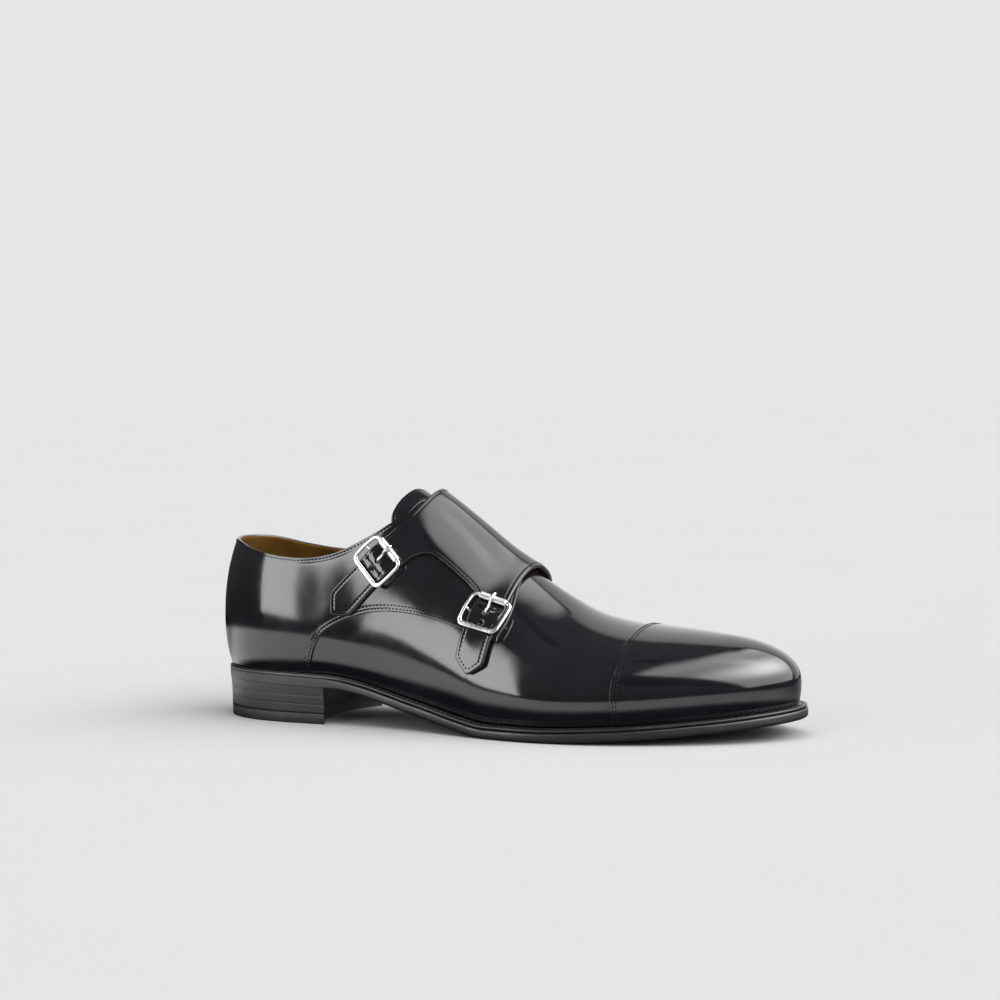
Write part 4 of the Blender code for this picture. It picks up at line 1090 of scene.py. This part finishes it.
def quarter_edge():
    """Lateral foot, seam, nose, throat and collar round the heel to the medial side, and back below."""
    rows = np.array(QUARTER_SEAM[:-1] + ((0.5425, 0.511),)) * (LENGTH, 1)
    foot = [(QUARTER_FOOT - 0.0004, 0.0), (QUARTER_FOOT - 0.0002, 0.03)]
    seam = corner_rounding_open(rows, 4)
    nose = corner_rounding_open(np.array(QUARTER_NOSE), 2)
    side = np.concatenate([foot, seam, nose, [(0.160, 0.985), (0.154, 0.985)]])
    q = place_of(side[:, 0])
    lateral = round_flat(q, side[:, 1])
    medial = round_flat(-q, side[:, 1])
    end = place_of(0.1515)
    collar = np.linspace(end, -end, 500)
    below = np.linspace(-q[0], q[0], 120)[1:-1]
    collar = round_flat(collar, opening(collar % 2))
    return np.concatenate([lateral, collar, medial[::-1], round_flat(below, 0 * below)])


def corner_rounding_open(edge, times):
    for _ in range(times):
        middle = np.stack([0.75 * edge[:-1] + 0.25 * edge[1:], 0.25 * edge[:-1] + 0.75 * edge[1:]], 1)
        edge = np.concatenate([edge[:1], middle.reshape(-1, 2), edge[-1:]])
    return edge


def quarter_top(u, w, d, hole):
    q, v = round_place(u, w)
    depth = folds(axis_station(q % 2), signed_g(q % 2, v))
    back = 0.00022 * np.exp(-((u / 0.00035) ** 2)) - 0.00010 * np.exp(-((u / 0.0016) ** 2))
    seam_low = np.clip((v - 0.05) / 0.03, 0, 1)
    second = trough(d, SECOND_ROW) * np.clip((0.62 - v) / 0.05, 0, 1)
    return -round_over(d) - (trough(d) + second) * seam_low - depth - back


def make_quarters():
    panel = Panel(quarter_edge(), [], round_place, quarter_top, lambda u, w: 0 * u - OVERLAY_STEP - LAYER_GAP)
    panel.build("quarters", "upper", 0.0020, [BLACK])

    def on_seam(u, w):
        q, v = round_place(u, w)
        x = axis_station(q % 2)
        return (v < quarter_seam(x) + 0.10) & (v > 0.07) & (x > 0.05)

    rows = panel.line(STITCH_INSET, lambda u, w: w > 0.045 * HALF_GIRTH) + panel.line(SECOND_ROW, on_seam)
    stitch_rows("stitches_quarters", rows)


# Tongue and flap

def flat_place(u, w):
    return over_place(u, w / HALF_GIRTH)


def make_tongue():
    top = -LINING_DEPTH - TONGUE_GAP
    panel = Panel(
        corner_rounding(in_metres(TONGUE_EDGE), 3), [], flat_place,
        lambda u, w, d, hole: top - round_over(d, FLAP_ROUND) - trough(d, FLAP_ROW),
        lambda u, w: 0 * u + top - TONGUE_THICKNESS,
    )
    panel.build("tongue_leather", "tongue", 0.0024, [BLACK, TAN], 1)
    stitch_rows("stitches_tongue", panel.line(FLAP_ROW))


def strap_holes():
    """Holes under the prongs, and spare holes further along each strap."""
    turn = circle(20)
    spots = []
    for row in BUCKLES:
        for at in (0.0004, -0.0044):
            x, g = place_near(row, at + HOLE_RADIUS * np.cos(turn), HOLE_RADIUS * np.sin(turn))
            spots.append(np.stack([x, g * HALF_GIRTH], -1))
    return spots


# Small wrinkles of the straps: buckle, place along and across, half length, half width, depth
WRINKLES = (
    ("upper", -0.0036, 0.0012, 0.0050, 0.0006, 0.00018),
    ("upper", -0.0050, -0.0030, 0.0040, 0.0006, 0.00014),
    ("upper", 0.0042, 0.0020, 0.0045, 0.0007, 0.00016),
    ("lower", -0.0034, -0.0010, 0.0048, 0.0006, 0.00018),
    ("lower", -0.0052, 0.0030, 0.0036, 0.0006, 0.00012),
    ("lower", 0.0040, -0.0016, 0.0050, 0.0007, 0.00018),
)


def flap_top(u, w, d, hole):
    x, g = u, w / HALF_GIRTH
    lift = strap_under(x, g) + FLAP_THICKNESS
    for name, along, across, length, width, depth in WRINKLES:
        row = BUCKLES[0] if name == "upper" else BUCKLES[1]
        s, t = near_buckle(row, x, g)
        lift = lift - depth * np.exp(-(((s - along) / width) ** 2) - ((t - across) / length) ** 2)
    rim = 0.00035 * np.exp(-((hole / 0.0005) ** 2))
    return lift - round_over(d, FLAP_ROUND) - trough(d, FLAP_ROW) - rim


def make_flap():
    panel = Panel(
        corner_rounding(flap_edge(), 3), strap_holes(), flat_place, flap_top,
        lambda u, w: strap_under(u, w / HALF_GIRTH),
    )
    panel.build("monk_flap", "strap_flap", 0.0013, [BLACK, TAN, PAINT], 1, 2)
    stitch_rows("stitches_flap", panel.line(FLAP_ROW))


# Sole, welt, heel, insole

def ring_places(count):
    """Even places round the outline."""
    q = np.linspace(0, 2, 4001)
    length = lengths(np.stack(outline(q), -1))
    at = np.linspace(0, length[-1], count, endpoint=False)
    return np.interp(at, length, q), at


def heel_share(x):
    """1 at the heel, 0 from the waist on."""
    t = np.clip((0.088 - x) / 0.022, 0, 1)
    return t * t * (3 - 2 * t)


def make_welt():
    """Welt: crest with wheel marks, sloping top with its stitches, groove above the sole."""
    q, at = ring_places(1400)
    reach = WELT_REACH * by_side(REACH, 1, q)
    top = WELT_THICKNESS - FIT_GAP
    crest = 0.68 * WELT_THICKNESS
    forepart = np.clip((station(q) - 0.075) / 0.02, 0, 1)
    marks = 0.00009 * np.clip(np.cos(2 * np.pi * at / 0.0024), 0, 1) ** 3 * forepart
    profile = (
        (WELT_STEP + 0.0012, FIT_GAP, 0.0),
        (WELT_STEP + 0.0003, FIT_GAP + 0.05e-3, 0.0),
        (WELT_STEP, FIT_GAP + 0.35 * (crest - FIT_GAP), 0.0),
        (WELT_STEP, FIT_GAP + 0.75 * (crest - FIT_GAP), 0.3),
        (WELT_STEP + 0.03 * reach, 0.93 * crest, 0.8),
        (WELT_STEP + 0.08 * reach, 0.985 * crest, 1.0),
        (WELT_STEP + 0.15 * reach, crest, 1.0),
        (WELT_STEP + 0.26 * reach, crest - 0.00004, 0.7),
        (WELT_STEP + 0.36 * reach, crest - 0.00006, 0.0),
        (WELT_STEP + 0.55 * reach, crest + 0.28 * (top - crest), 0.0),
        (WELT_STEP + 0.72 * reach, crest + 0.50 * (top - crest), 0.0),
        (reach - FIT_GAP, top - 0.0001, 0.0),
        (reach + 0.0008, top - 0.0003, 0.0),
        (reach + WELT_INNER, top, 0.0),
        (reach + WELT_INNER, FIT_GAP, 0.0),
    )
    seat = (
        (0.60e-3, 0.0), (0.15e-3, 0.02e-3), (0.04e-3, 0.3e-3), (0.02e-3, 0.9e-3), (0.10e-3, 1.35e-3),
        (0.28e-3, 1.62e-3), (0.52e-3, 1.74e-3),
    )
    heel = heel_share(station(q))
    turns = []
    for number, (inset, height, mark) in enumerate(profile):
        if number < len(seat):
            inset = inset * (1 - heel) + seat[number][0] * heel
            height = height * (1 - heel) + seat[number][1] * heel
        x, y = inset_outline(q, inset)
        turns.append(np.stack([x, y, sole_height(x) + OUTSOLE_THICKNESS + height - mark * marks], -1))
    faces = grid_faces(len(turns) + 1, len(q), 0, True)
    make_piece("welt_strip", "welt", "sole_edge_finish", turns + turns[:1], faces, [SOLE_EDGE], weld=True)
    x, y = inset_outline(q, WELT_STEP + 0.50 * reach)
    z = sole_height(x) + OUTSOLE_THICKNESS + crest + 0.24 * (top - crest)
    path = np.stack([x, y, z], -1)
    up = np.tile([0.0, 0.0, 1.0], (len(q), 1))
    good = (station(q) > 0.085) & (reach > 0.0022)
    runs = runs_of(path, up, good)
    stitch_rows("stitches_welt", runs, 0.0030, 0.0024, 0.00055, 0.0, 4.0, "sole_edge_finish")


def make_plate(name, node, slot, finishes, lines, heights, crossings, dish=0.0, under_rings=0):
    """Closed plate over the sole's curve: stacked rings, with ladders of faces across the first and last."""
    rings = np.array([np.stack([x, y, sole_height(x) + h], -1) for (x, y), h in zip(lines, heights)])
    count = rings.shape[1]
    tip = count // 2
    points = [rings.reshape(-1, 3)]
    faces = [grid_faces(len(rings), count, 0, True)]
    kinds = [np.repeat(np.arange(len(rings) - 1) < under_rings, count)]
    total = len(rings) * count
    shares = np.linspace(0, 1, crossings + 1)[1:-1]
    left = np.arange(1, tip)
    for level, base, sag in ((0, 0, 0.0), (-1, total - count, dish)):
        ring = rings[level]
        inner = ring[left][:, None] * (1 - shares[:, None]) + ring[count - left][:, None] * shares[:, None]
        inner[..., 2] = sole_height(inner[..., 0]) + heights[level] - sag * (1 - (2 * shares - 1) ** 2)
        ids = total + np.arange(inner[..., 0].size).reshape(inner.shape[:2])
        total += ids.size
        points.append(inner.reshape(-1, 3))
        rungs = np.concatenate([base + left[:, None], ids, base + count - left[:, None]], 1)
        quads = np.stack([rungs[:-1, :-1], rungs[:-1, 1:], rungs[1:, 1:], rungs[1:, :-1]], -1).reshape(-1, 4)
        ends = []
        for end, rung in ((base, rungs[0]), (base + tip, rungs[-1])):
            ends += [(end, rung[k], rung[k + 1]) for k in range(crossings)]
        faces += [quads, ends]
        kinds.append(np.full(len(quads) + len(ends), base == 0))
    kinds = np.concatenate(kinds) if len(finishes) > 1 else None
    faces = [f for group in faces for f in group]
    make_piece(name, node, slot, np.concatenate(points), faces, finishes, kinds, turn=True)


def mirrored_places(half):
    q = np.linspace(0, 1, half)
    q = q - 0.35 * np.sin(2 * np.pi * q) / (2 * np.pi)
    return np.concatenate([q, 2 - q[-2:0:-1]])


def make_sole():
    """Outsole: rounded lower edge, lightly hollowed side, and a fine channel line near the edge below."""
    q = mirrored_places(420)
    side = (
        (6.40, 0.0), (6.05, 0.0), (5.85, 0.020), (5.65, 0.020), (5.45, 0.0), (3.0, 0.0),
        (1.6, 0.0), (1.0, 0.01), (0.55, 0.05), (0.2, 0.14), (0.04, 0.28), (0.0, 0.42), (0.03, 0.60),
        (0.05, 0.74), (0.12, 0.87), (0.36, 0.96), (0.8, 1.0),
    )
    flush = 1 - 0.95 * heel_share(station(q))
    lines = [inset_outline(q, inset * SOLE_EDGE_ROUND * (flush if inset < 1.5 else 1)) for inset, _ in side]
    heights = [share * OUTSOLE_THICKNESS for _, share in side]
    make_plate("outsole_leather", "outsole", "sole_edge_finish", [SOLE_EDGE, SOLE_UNDER], lines, heights, 22,
               under_rings=5)


def make_insole():
    """Sock lining: flat leather with a soft raised border against the lining."""
    q = mirrored_places(220)
    wall = LINING_DEPTH + FIT_GAP
    under = WELT_INNER + FIT_GAP
    low = OUTSOLE_THICKNESS + FIT_GAP
    ledge = OUTSOLE_THICKNESS + WELT_THICKNESS + FIT_GAP
    insets = (under, under, wall, wall, wall + 0.0004, wall + 0.0012, wall + 0.0030)
    heights = [low, ledge, ledge] + [ledge + share * INSOLE_RISE for share in (0.6, 0.9, 1.0, 0.96)]
    lines = [feather(q, inset) for inset in insets]
    make_plate("sock_lining", "insole", "insole_leather", [TAN], lines, heights, 20, dish=0.0010)


def heel_piece(name, node, slot, material, levels):
    """Solid of the heel's plan; a level is its inset, share of the sole's height and rise above that."""
    end = np.arccos(1 - 2 * HEEL_LENGTH / LENGTH) / np.pi
    q = np.linspace(end, -end, 150)
    across = np.linspace(-1, 1, 44)[1:-1]
    share = (across + 1) / 2
    rings = []
    for inset, part, rise in levels:
        x, y = inset_outline(q, inset)
        x = np.concatenate([x, x[-1] * (1 - share) + x[0] * share - BREAST_HOLLOW * (1 - across**2)])
        y = np.concatenate([y, y[-1] * (1 - share) + y[0] * share])
        rings.append(np.stack([x, y, part * sole_height(x) + rise], -1))
    count = len(rings[0])
    faces = list(grid_faces(len(rings), count, 0, True))
    for base, ring in ((0, rings[0]), ((len(rings) - 1) * count, rings[-1])):
        flat = [Vector(p) for p in ring[:, :2].tolist()]
        filled = delaunay_2d_cdt(flat, [], [list(range(count))], 1, 1e-9)
        faces += [[base + filled[3][i][0] for i in face] for face in filled[2]]
    make_piece(name, node, slot, rings, faces, [material], turn=True, sharp=np.radians(50))


LIFT_GAP = 0.00004
LIFT_LINE = 0.000035
LIFT_SHOULDER = 0.00001
HEEL_BOW = 0.00012


def make_heel():
    """Heel: leather lifts with fine lines between them, and the rubber top piece."""
    floor = TOP_PIECE_THICKNESS + LIFT_GAP
    low = HEEL_INSET + HEEL_TAPER
    seams = np.arange(1, HEEL_LIFTS) / HEEL_LIFTS
    shares = [(k / 14, 0.0) for k in range(1, 14) if np.abs(k / 14 - seams).min() > 0.03]
    for middle in seams:
        for away, cut in ((0.012, 0.0), (0.005, LIFT_SHOULDER)):
            shares += [(middle - away, cut), (middle + away, cut)]
        shares.append((middle, LIFT_LINE))
    levels = [(low + 0.0001, 0, floor), (low, 0, floor + 0.00012)]
    for s, cut in sorted(shares):
        levels.append((low - HEEL_TAPER * s + cut + HEEL_BOW * np.sin(np.pi * s), s, floor * (1 - s)))
    levels.append((HEEL_INSET, 1, -LIFT_GAP / 2))
    heel_piece("heel_lifts", "heel_stack", "sole_edge_finish", SOLE_EDGE, levels)
    chamfer = TOP_PIECE_CHAMFER
    levels = (
        (chamfer, 0.0), (0.3 * chamfer, 0.3 * chamfer), (0.05e-3, chamfer), (0.0, 0.5 * TOP_PIECE_THICKNESS),
        (0.0, TOP_PIECE_THICKNESS - 0.00015), (0.0001, TOP_PIECE_THICKNESS),
    )
    levels = [(low + inset, 0, rise) for inset, rise in levels]
    heel_piece("heel_top_rubber", "heel_top_piece", "top_piece_rubber", RUBBER, levels)


# Buckles

FRAME_LIFT = FLAP_GAP + 2 * FIT_GAP + FLAP_THICKNESS + FRAME_DEPTH / 2 + ROLLER_WALL + PIN_GAP
BAR_LIFT = FIT_GAP + BAR_DIAMETER / 2
ROLLER_ROUND = 0.0005
PRONG_SHOWN = 1.25


def over_skin(row, s, t, lift):
    x, g = place_near(row, s, t)
    low = on_top(x, g, lift)
    high = on_top(x, g, lift + 1e-3)
    return low, (high - low) / 1e-3


def frame_path(a, b):
    """Rectangle with round corners: straight end bars at s = a and -a, side bars bowed a little."""
    bar = np.linspace(FRAME_CORNER - b, b - FRAME_CORNER, 22)
    turn = np.linspace(0, np.pi / 2, 12)[1:-1]
    corner_s = a - FRAME_CORNER + FRAME_CORNER * np.cos(turn)
    corner_t = b - FRAME_CORNER + FRAME_CORNER * np.sin(turn)
    side = np.linspace(a - FRAME_CORNER, FRAME_CORNER - a, 22)
    s = np.concatenate([0 * bar + a, corner_s, side, -corner_s[::-1]])
    t = np.concatenate([bar, corner_t, 0 * side + b, corner_t[::-1]])
    bow = 1 + SIDE_BOW / b * (1 - (s / a) ** 2)
    return np.concatenate([s, -s]), np.concatenate([t * bow, -t * bow])


def swept(points, ups, width, depth, sides, closed, square=2.0):
    """Rings of a tube along points; square above 2 makes its section more rectangular."""
    if closed:
        run = np.roll(points, -1, 0) - np.roll(points, 1, 0)
    else:
        run = np.gradient(points, axis=0)
    run = unit(run)
    aside = unit(np.cross(run, ups))
    up = np.cross(aside, run)
    turn = circle(sides)
    ca, sa = np.cos(turn), np.sin(turn)
    ca = np.sign(ca) * np.abs(ca) ** (2 / square)
    sa = np.sign(sa) * np.abs(sa) ** (2 / square)
    width = np.broadcast_to(width, len(points))[:, None, None]
    depth = np.broadcast_to(depth, len(points))[:, None, None]
    ring = aside[:, None] * ca[None, :, None] * width / 2 + up[:, None] * sa[None, :, None] * depth / 2
    return points[:, None] + ring


def buckle_piece(row, kind, node, points, faces, material=METAL):
    start = "buckle_" + row[0] + "_"
    make_piece(start + kind, start + node, "buckle_metal", points, faces, [material], turn=True)


def rod(row, kind, node, path, ups, width, depth, sides, closed=False, square=2.0):
    """Tube along a path, joined into a ring or closed by a flat face at each end."""
    rings = swept(path, ups, width, depth, sides, closed, square)
    count = len(path) * sides
    if closed:
        faces = grid_faces(len(path) + 1, sides, 0, True) % count
    else:
        faces = list(grid_faces(len(path), sides, 0, True))
        faces += [range(sides - 1, -1, -1), range(count - sides, count)]
    buckle_piece(row, kind, node, rings, faces)


def make_buckle(row):
    """Frame with its centre bar, roller and prong, laid over the strap."""
    along, across = BUCKLE_FRAMES[row[0]][1:3]
    a = (FRAME_ALONG - FRAME_WIDTH) / 2
    b = STRAP_WIDTH / 2 + STRAP_GAP + FRAME_WIDTH / 2
    s, t = frame_path(a, b)
    path, up = over_skin(row, s, t, FRAME_LIFT + 0 * s)
    far = np.exp(-(((s + a) / 0.0020) ** 2))
    near = np.exp(-(((s - a) / 0.0020) ** 2))
    width = FRAME_WIDTH * (0.80 + 0.32 * far + 0.10 * near)
    rod(row, "loop", "frame", path, up, width, FRAME_DEPTH, 24, True, 2.7)

    clear = STRAP_WIDTH / 2 + STRAP_GAP + BAR_DIAMETER / 2
    end = b + SIDE_BOW
    t = np.concatenate([[-end], np.linspace(-clear, clear, 31), [end]])
    lift = BAR_LIFT + (FRAME_LIFT - BAR_LIFT) * np.clip((np.abs(t) - clear) / (end - clear), 0, 1)
    path = over_skin(row, 0 * t, t, lift)[0]
    rod(row, "bar", "frame", path, np.broadcast_to(along, path.shape), BAR_DIAMETER, BAR_DIAMETER, 16)

    half = ROLLER_LENGTH / 2
    ends = half - np.array([0.0, 0.1, 0.4]) * ROLLER_ROUND
    t = np.concatenate([-ends, np.linspace(ROLLER_ROUND - half, half - ROLLER_ROUND, 25), ends[::-1]])
    path, up = over_skin(row, a + 0 * t, t, FRAME_LIFT + 0 * t)
    wide, deep = FRAME_WIDTH + 2 * PIN_GAP, FRAME_DEPTH + 2 * PIN_GAP
    past = np.maximum(ROLLER_ROUND - half + np.abs(t), 0)
    trim = 2 * ROLLER_WALL - 1.2 * (ROLLER_ROUND - np.sqrt(np.maximum(ROLLER_ROUND**2 - past**2, 0)))
    outer = swept(path, up, wide + trim, deep + trim, 32, False)
    inner = swept(path, up, wide, deep, 32, False)
    buckle_piece(row, "tube", "roller", *closed_grid(outer, inner, True), ROLLER_METAL)

    r = PRONG_SHOWN * PRONG_DIAMETER / 2
    over_strap = FIT_GAP + BAR_DIAMETER + FIT_GAP + FLAP_THICKNESS + FIT_GAP + r
    top = FRAME_LIFT + deep / 2 + ROLLER_WALL + PIN_GAP + r
    root = FIT_GAP + BAR_DIAMETER + PIN_GAP
    stops = np.array((
        (0.0, root), (0.05, 0.5 * (root + over_strap)), (0.15, over_strap - 0.3 * r), (0.32, over_strap),
        (0.52, over_strap + 0.00005), (0.70, 0.45 * over_strap + 0.55 * top), (0.84, top),
        (0.96, top + 0.0001), (1.08, top), (1.20, top - 0.00045), (1.28, top - 0.0010),
    ))
    fine = np.linspace(0, len(stops) - 1, 61)
    share, lift = (smooth(np.arange(len(stops)) * 1.0, stops[:, k], fine) for k in range(2))
    path = over_skin(row, share * a, 0 * share, lift)[0]
    swell = 1 + 0.25 * np.clip((share - 0.5) / 0.5, 0, 1) - 0.5 * np.clip((share - 1.18) / 0.10, 0, 1) ** 2
    rod(row, "pin", "prong", path, np.broadcast_to(across, path.shape), 2 * r * swell, 2 * r * swell, 20)


# Studio

FLOOR_TONE = 0.626
# Brightness of the painted glow that stands in for the lit table in reflections
TABLE_GLOW = 1.6
BACKGROUND = (0.79, 0.79, 0.79, 1.0)


class Value:
    """Number in a shader, with plain arithmetic."""

    def __init__(self, tree, socket):
        self.tree = tree
        self.socket = socket

    def step(self, kind, other=None):
        links = {0: self.socket}
        values = {}
        if isinstance(other, Value):
            links[1] = other.socket
        elif other is not None:
            values[1] = other
        return Value(self.tree, joined(self.tree, "ShaderNodeMath", links, values, operation=kind).outputs[0])

    def __add__(self, other):
        return self.step("ADD", other)

    def __mul__(self, other):
        return self.step("MULTIPLY", other)

    def fade(self, start, end):
        """0 before the start and 1 past the end, or the other way where the end is the smaller."""
        links, values = {"Value": self.socket}, {"From Min": start, "From Max": end}
        node = joined(self.tree, "ShaderNodeMapRange", links, values, interpolation_type="SMOOTHSTEP")
        return Value(self.tree, node.outputs["Result"])

    def band(self, low, high, soft):
        return self.fade(low - soft, low + soft) * self.fade(high + soft, high - soft)

    def hill(self, middle, width):
        away = (self + -middle) * (1 / width)
        return (away * away * -1.0).step("EXPONENT")


def place_values(tree, space):
    coords = joined(tree, "ShaderNodeTexCoord").outputs[space]
    parts = joined(tree, "ShaderNodeSeparateXYZ", {"Vector": coords})
    return [Value(tree, socket) for socket in parts.outputs]


def world_light():
    """Soft light from all round the room for the matt surfaces; the camera sees a plain pale background."""
    world = bpy.data.worlds.new("studio")
    bpy.context.scene.world = world
    world.use_nodes = True
    world.cycles_visibility.glossy = False
    tree = world.node_tree
    tree.nodes.clear()
    x, y, z = place_values(tree, "Generated")
    right = x.fade(0.25, 0.75) * z.fade(0.05, 0.75)
    left = y.fade(-0.45, -0.85) * x.fade(0.1, -0.5)
    total = right * 5.2 + left * 2.4 + z.fade(0.80, 0.98) * 2.6 + 0.22
    room = joined(tree, "ShaderNodeBackground", {"Strength": total.socket}).outputs[0]
    plain = joined(tree, "ShaderNodeBackground", None, {"Color": BACKGROUND}).outputs[0]
    ray = joined(tree, "ShaderNodeLightPath").outputs["Is Camera Ray"]
    mix = joined(tree, "ShaderNodeMixShader", {0: ray, 1: room, 2: plain})
    joined(tree, "ShaderNodeOutputWorld", {"Surface": mix.outputs[0]})


def stage_grid(name, points, material):
    mesh = bpy.data.meshes.new(name)
    mesh.from_pydata(points.reshape(-1, 3).tolist(), [], grid_faces(*points.shape[:2]).tolist())
    mesh.materials.append(material)
    made = bpy.data.objects.new(name, mesh)
    bpy.context.scene.collection.objects.link(made)
    return made


def mirror_panel(name, points, power):
    """Surface that only polished pieces reflect; power makes its brightness from its place."""
    material, tree, shader = new_material(name + "_finish")
    shader.inputs["Base Color"].default_value = (0.0, 0.0, 0.0, 1.0)
    shader.inputs["Specular IOR Level"].default_value = 0.0
    shader.inputs["Emission Color"].default_value = (1.0, 1.0, 1.0, 1.0)
    tree.links.new(power(*place_values(tree, "Object")).socket, shader.inputs["Emission Strength"])
    panel = stage_grid(name, points, material)
    for way in ("camera", "diffuse", "shadow", "transmission"):
        setattr(panel, "visible_" + way, False)


def flat_panel(start, along, across, cuts=8):
    i, j = np.meshgrid(np.linspace(0, 1, cuts), np.linspace(0, 1, cuts))
    return np.array(start) + i[..., None] * np.array(along) + j[..., None] * np.array(across)


def dome(radius):
    rise, turn = np.meshgrid(np.linspace(-1.5, 1.5, 12), np.linspace(0, 2 * np.pi, 24), indexing="ij")
    flat = radius * np.cos(rise)
    return np.stack([flat * np.cos(turn), flat * np.sin(turn), radius * np.sin(rise)], -1)


def toe_light(x, y, z):
    """Large tilted soft box over the toe, hottest in its middle."""
    shape = x.band(0.16, 1.60, 0.05) * y.fade(0.86, 0.74) * (y + x * 0.42).fade(-0.55, -0.43)
    hot = x.hill(0.67, 0.26) * y.hill(0.0, 0.5)
    dim = x.hill(0.37, 0.10) * (y + -0.06).step("ABSOLUTE").fade(0.05, 0.17)
    return shape * (dim * -0.32 + 1.0) * (hot * 10.0 + 3.4)


def table_light(x, y, z):
    """Painted glow of the lit pale table round the shoe, painted shadow next to it, dark past its front and
    side edges.
    """
    past = (x.step("ABSOLUTE") + -0.11).step("MAXIMUM", 0.0)
    away = (past * past + y * y).step("SQRT")
    # painted shadow of the shoe: the glow fades out within about 75 to 108 mm of it
    shape = away.fade(0.075, 0.108) * away.fade(0.43, 0.36) * x.fade(0.34, 0.27)
    # painted light: brighter towards -X and dimmer behind the shoe
    return shape * (x * -1.6 + TABLE_GLOW) * (y.fade(-0.04, 0.08) * -0.75 + 1.0)


# Stage surfaces that polished pieces reflect: name, points, brightness
PANELS = (
    ("panel_toe", flat_panel((0.10, -1.25, 1.031), (1.60, 0, -0.992), (0, 2.15, 0)), toe_light),
    ("panel_heel", flat_panel((-1.33, -1.0, 0.0), (0.84, 0, 0), (0, 0, 1.62)),
     lambda x, y, z: x.band(-1.265, -0.58, 0.035) * z.band(0.03, 1.56, 0.02) * 6.8),
    # the table is painted light: a glow with painted shadow round the shoe
    ("table_glow_near", flat_panel((-0.60, -0.50, 0.0), (0.96, 0, 0), (0, 1.0, 0)), table_light),
    ("backdrop", flat_panel((-1.3, 1.3, 0.0), (2.8, 0, 0), (0, 0, 2.0)), lambda x, y, z: z.fade(2.0, 1.5)),
    ("room", dome(5.0), lambda x, y, z: z.fade(-0.5, 1.5) * 0.10 + 0.04),
)


def make_studio():
    world_light()
    tones = ((0.3, (FLOOR_TONE * 0.995,) * 3), (0.7, (FLOOR_TONE * 1.005,) * 3))
    paper = finish("floor_finish", ("noise", 3, 2), tones, 1.0, (), {"Specular IOR Level": 0.0})
    floor = stage_grid("floor", flat_panel((-40.0, -40.0, 0.0), (80.0, 0, 0), (0, 80.0, 0), 9), paper)
    floor.visible_glossy = False
    for name, points, power in PANELS:
        mirror_panel(name, points, power)


def make_camera():
    aim = Vector(CAMERA_AIM).normalized()
    right = aim.cross(Vector((0, 0, 1))).normalized()
    up = right.cross(aim)
    cos, sin = np.cos(CAMERA_ROLL), np.sin(CAMERA_ROLL)
    across = right * cos + up * sin
    above = -right * sin + up * cos
    place = Vector(np.array(CAMERA_PLACE) - CENTRE)
    turn = Matrix((across, above, -aim)).transposed().to_4x4()
    lens = bpy.data.cameras.new("camera")
    lens.lens = CAMERA_LENS
    lens.sensor_width = 36.0
    camera = bpy.data.objects.new("camera", lens)
    camera.matrix_world = Matrix.Translation(place) @ turn
    bpy.context.scene.collection.objects.link(camera)
    bpy.context.scene.camera = camera


make_camera()
make_studio()
make_shell("vamp", BLACK, "upper_leather", 520, 76, 0.0, OVERLAY_STEP, SHELL_MIDDLE, 1.0)
make_shell("upper_lining", TAN, "insole_leather", 320, 56, COLLAR_ROLL, SHELL_MIDDLE + LINING_GAP,
           LINING_DEPTH, 0.0)
make_cap()
make_quarters()
make_tongue()
make_flap()
make_welt()
make_sole()
make_insole()
make_heel()
for row in BUCKLES:
    make_buckle(row)

bpy.context.scene.view_settings.view_transform = "Standard"
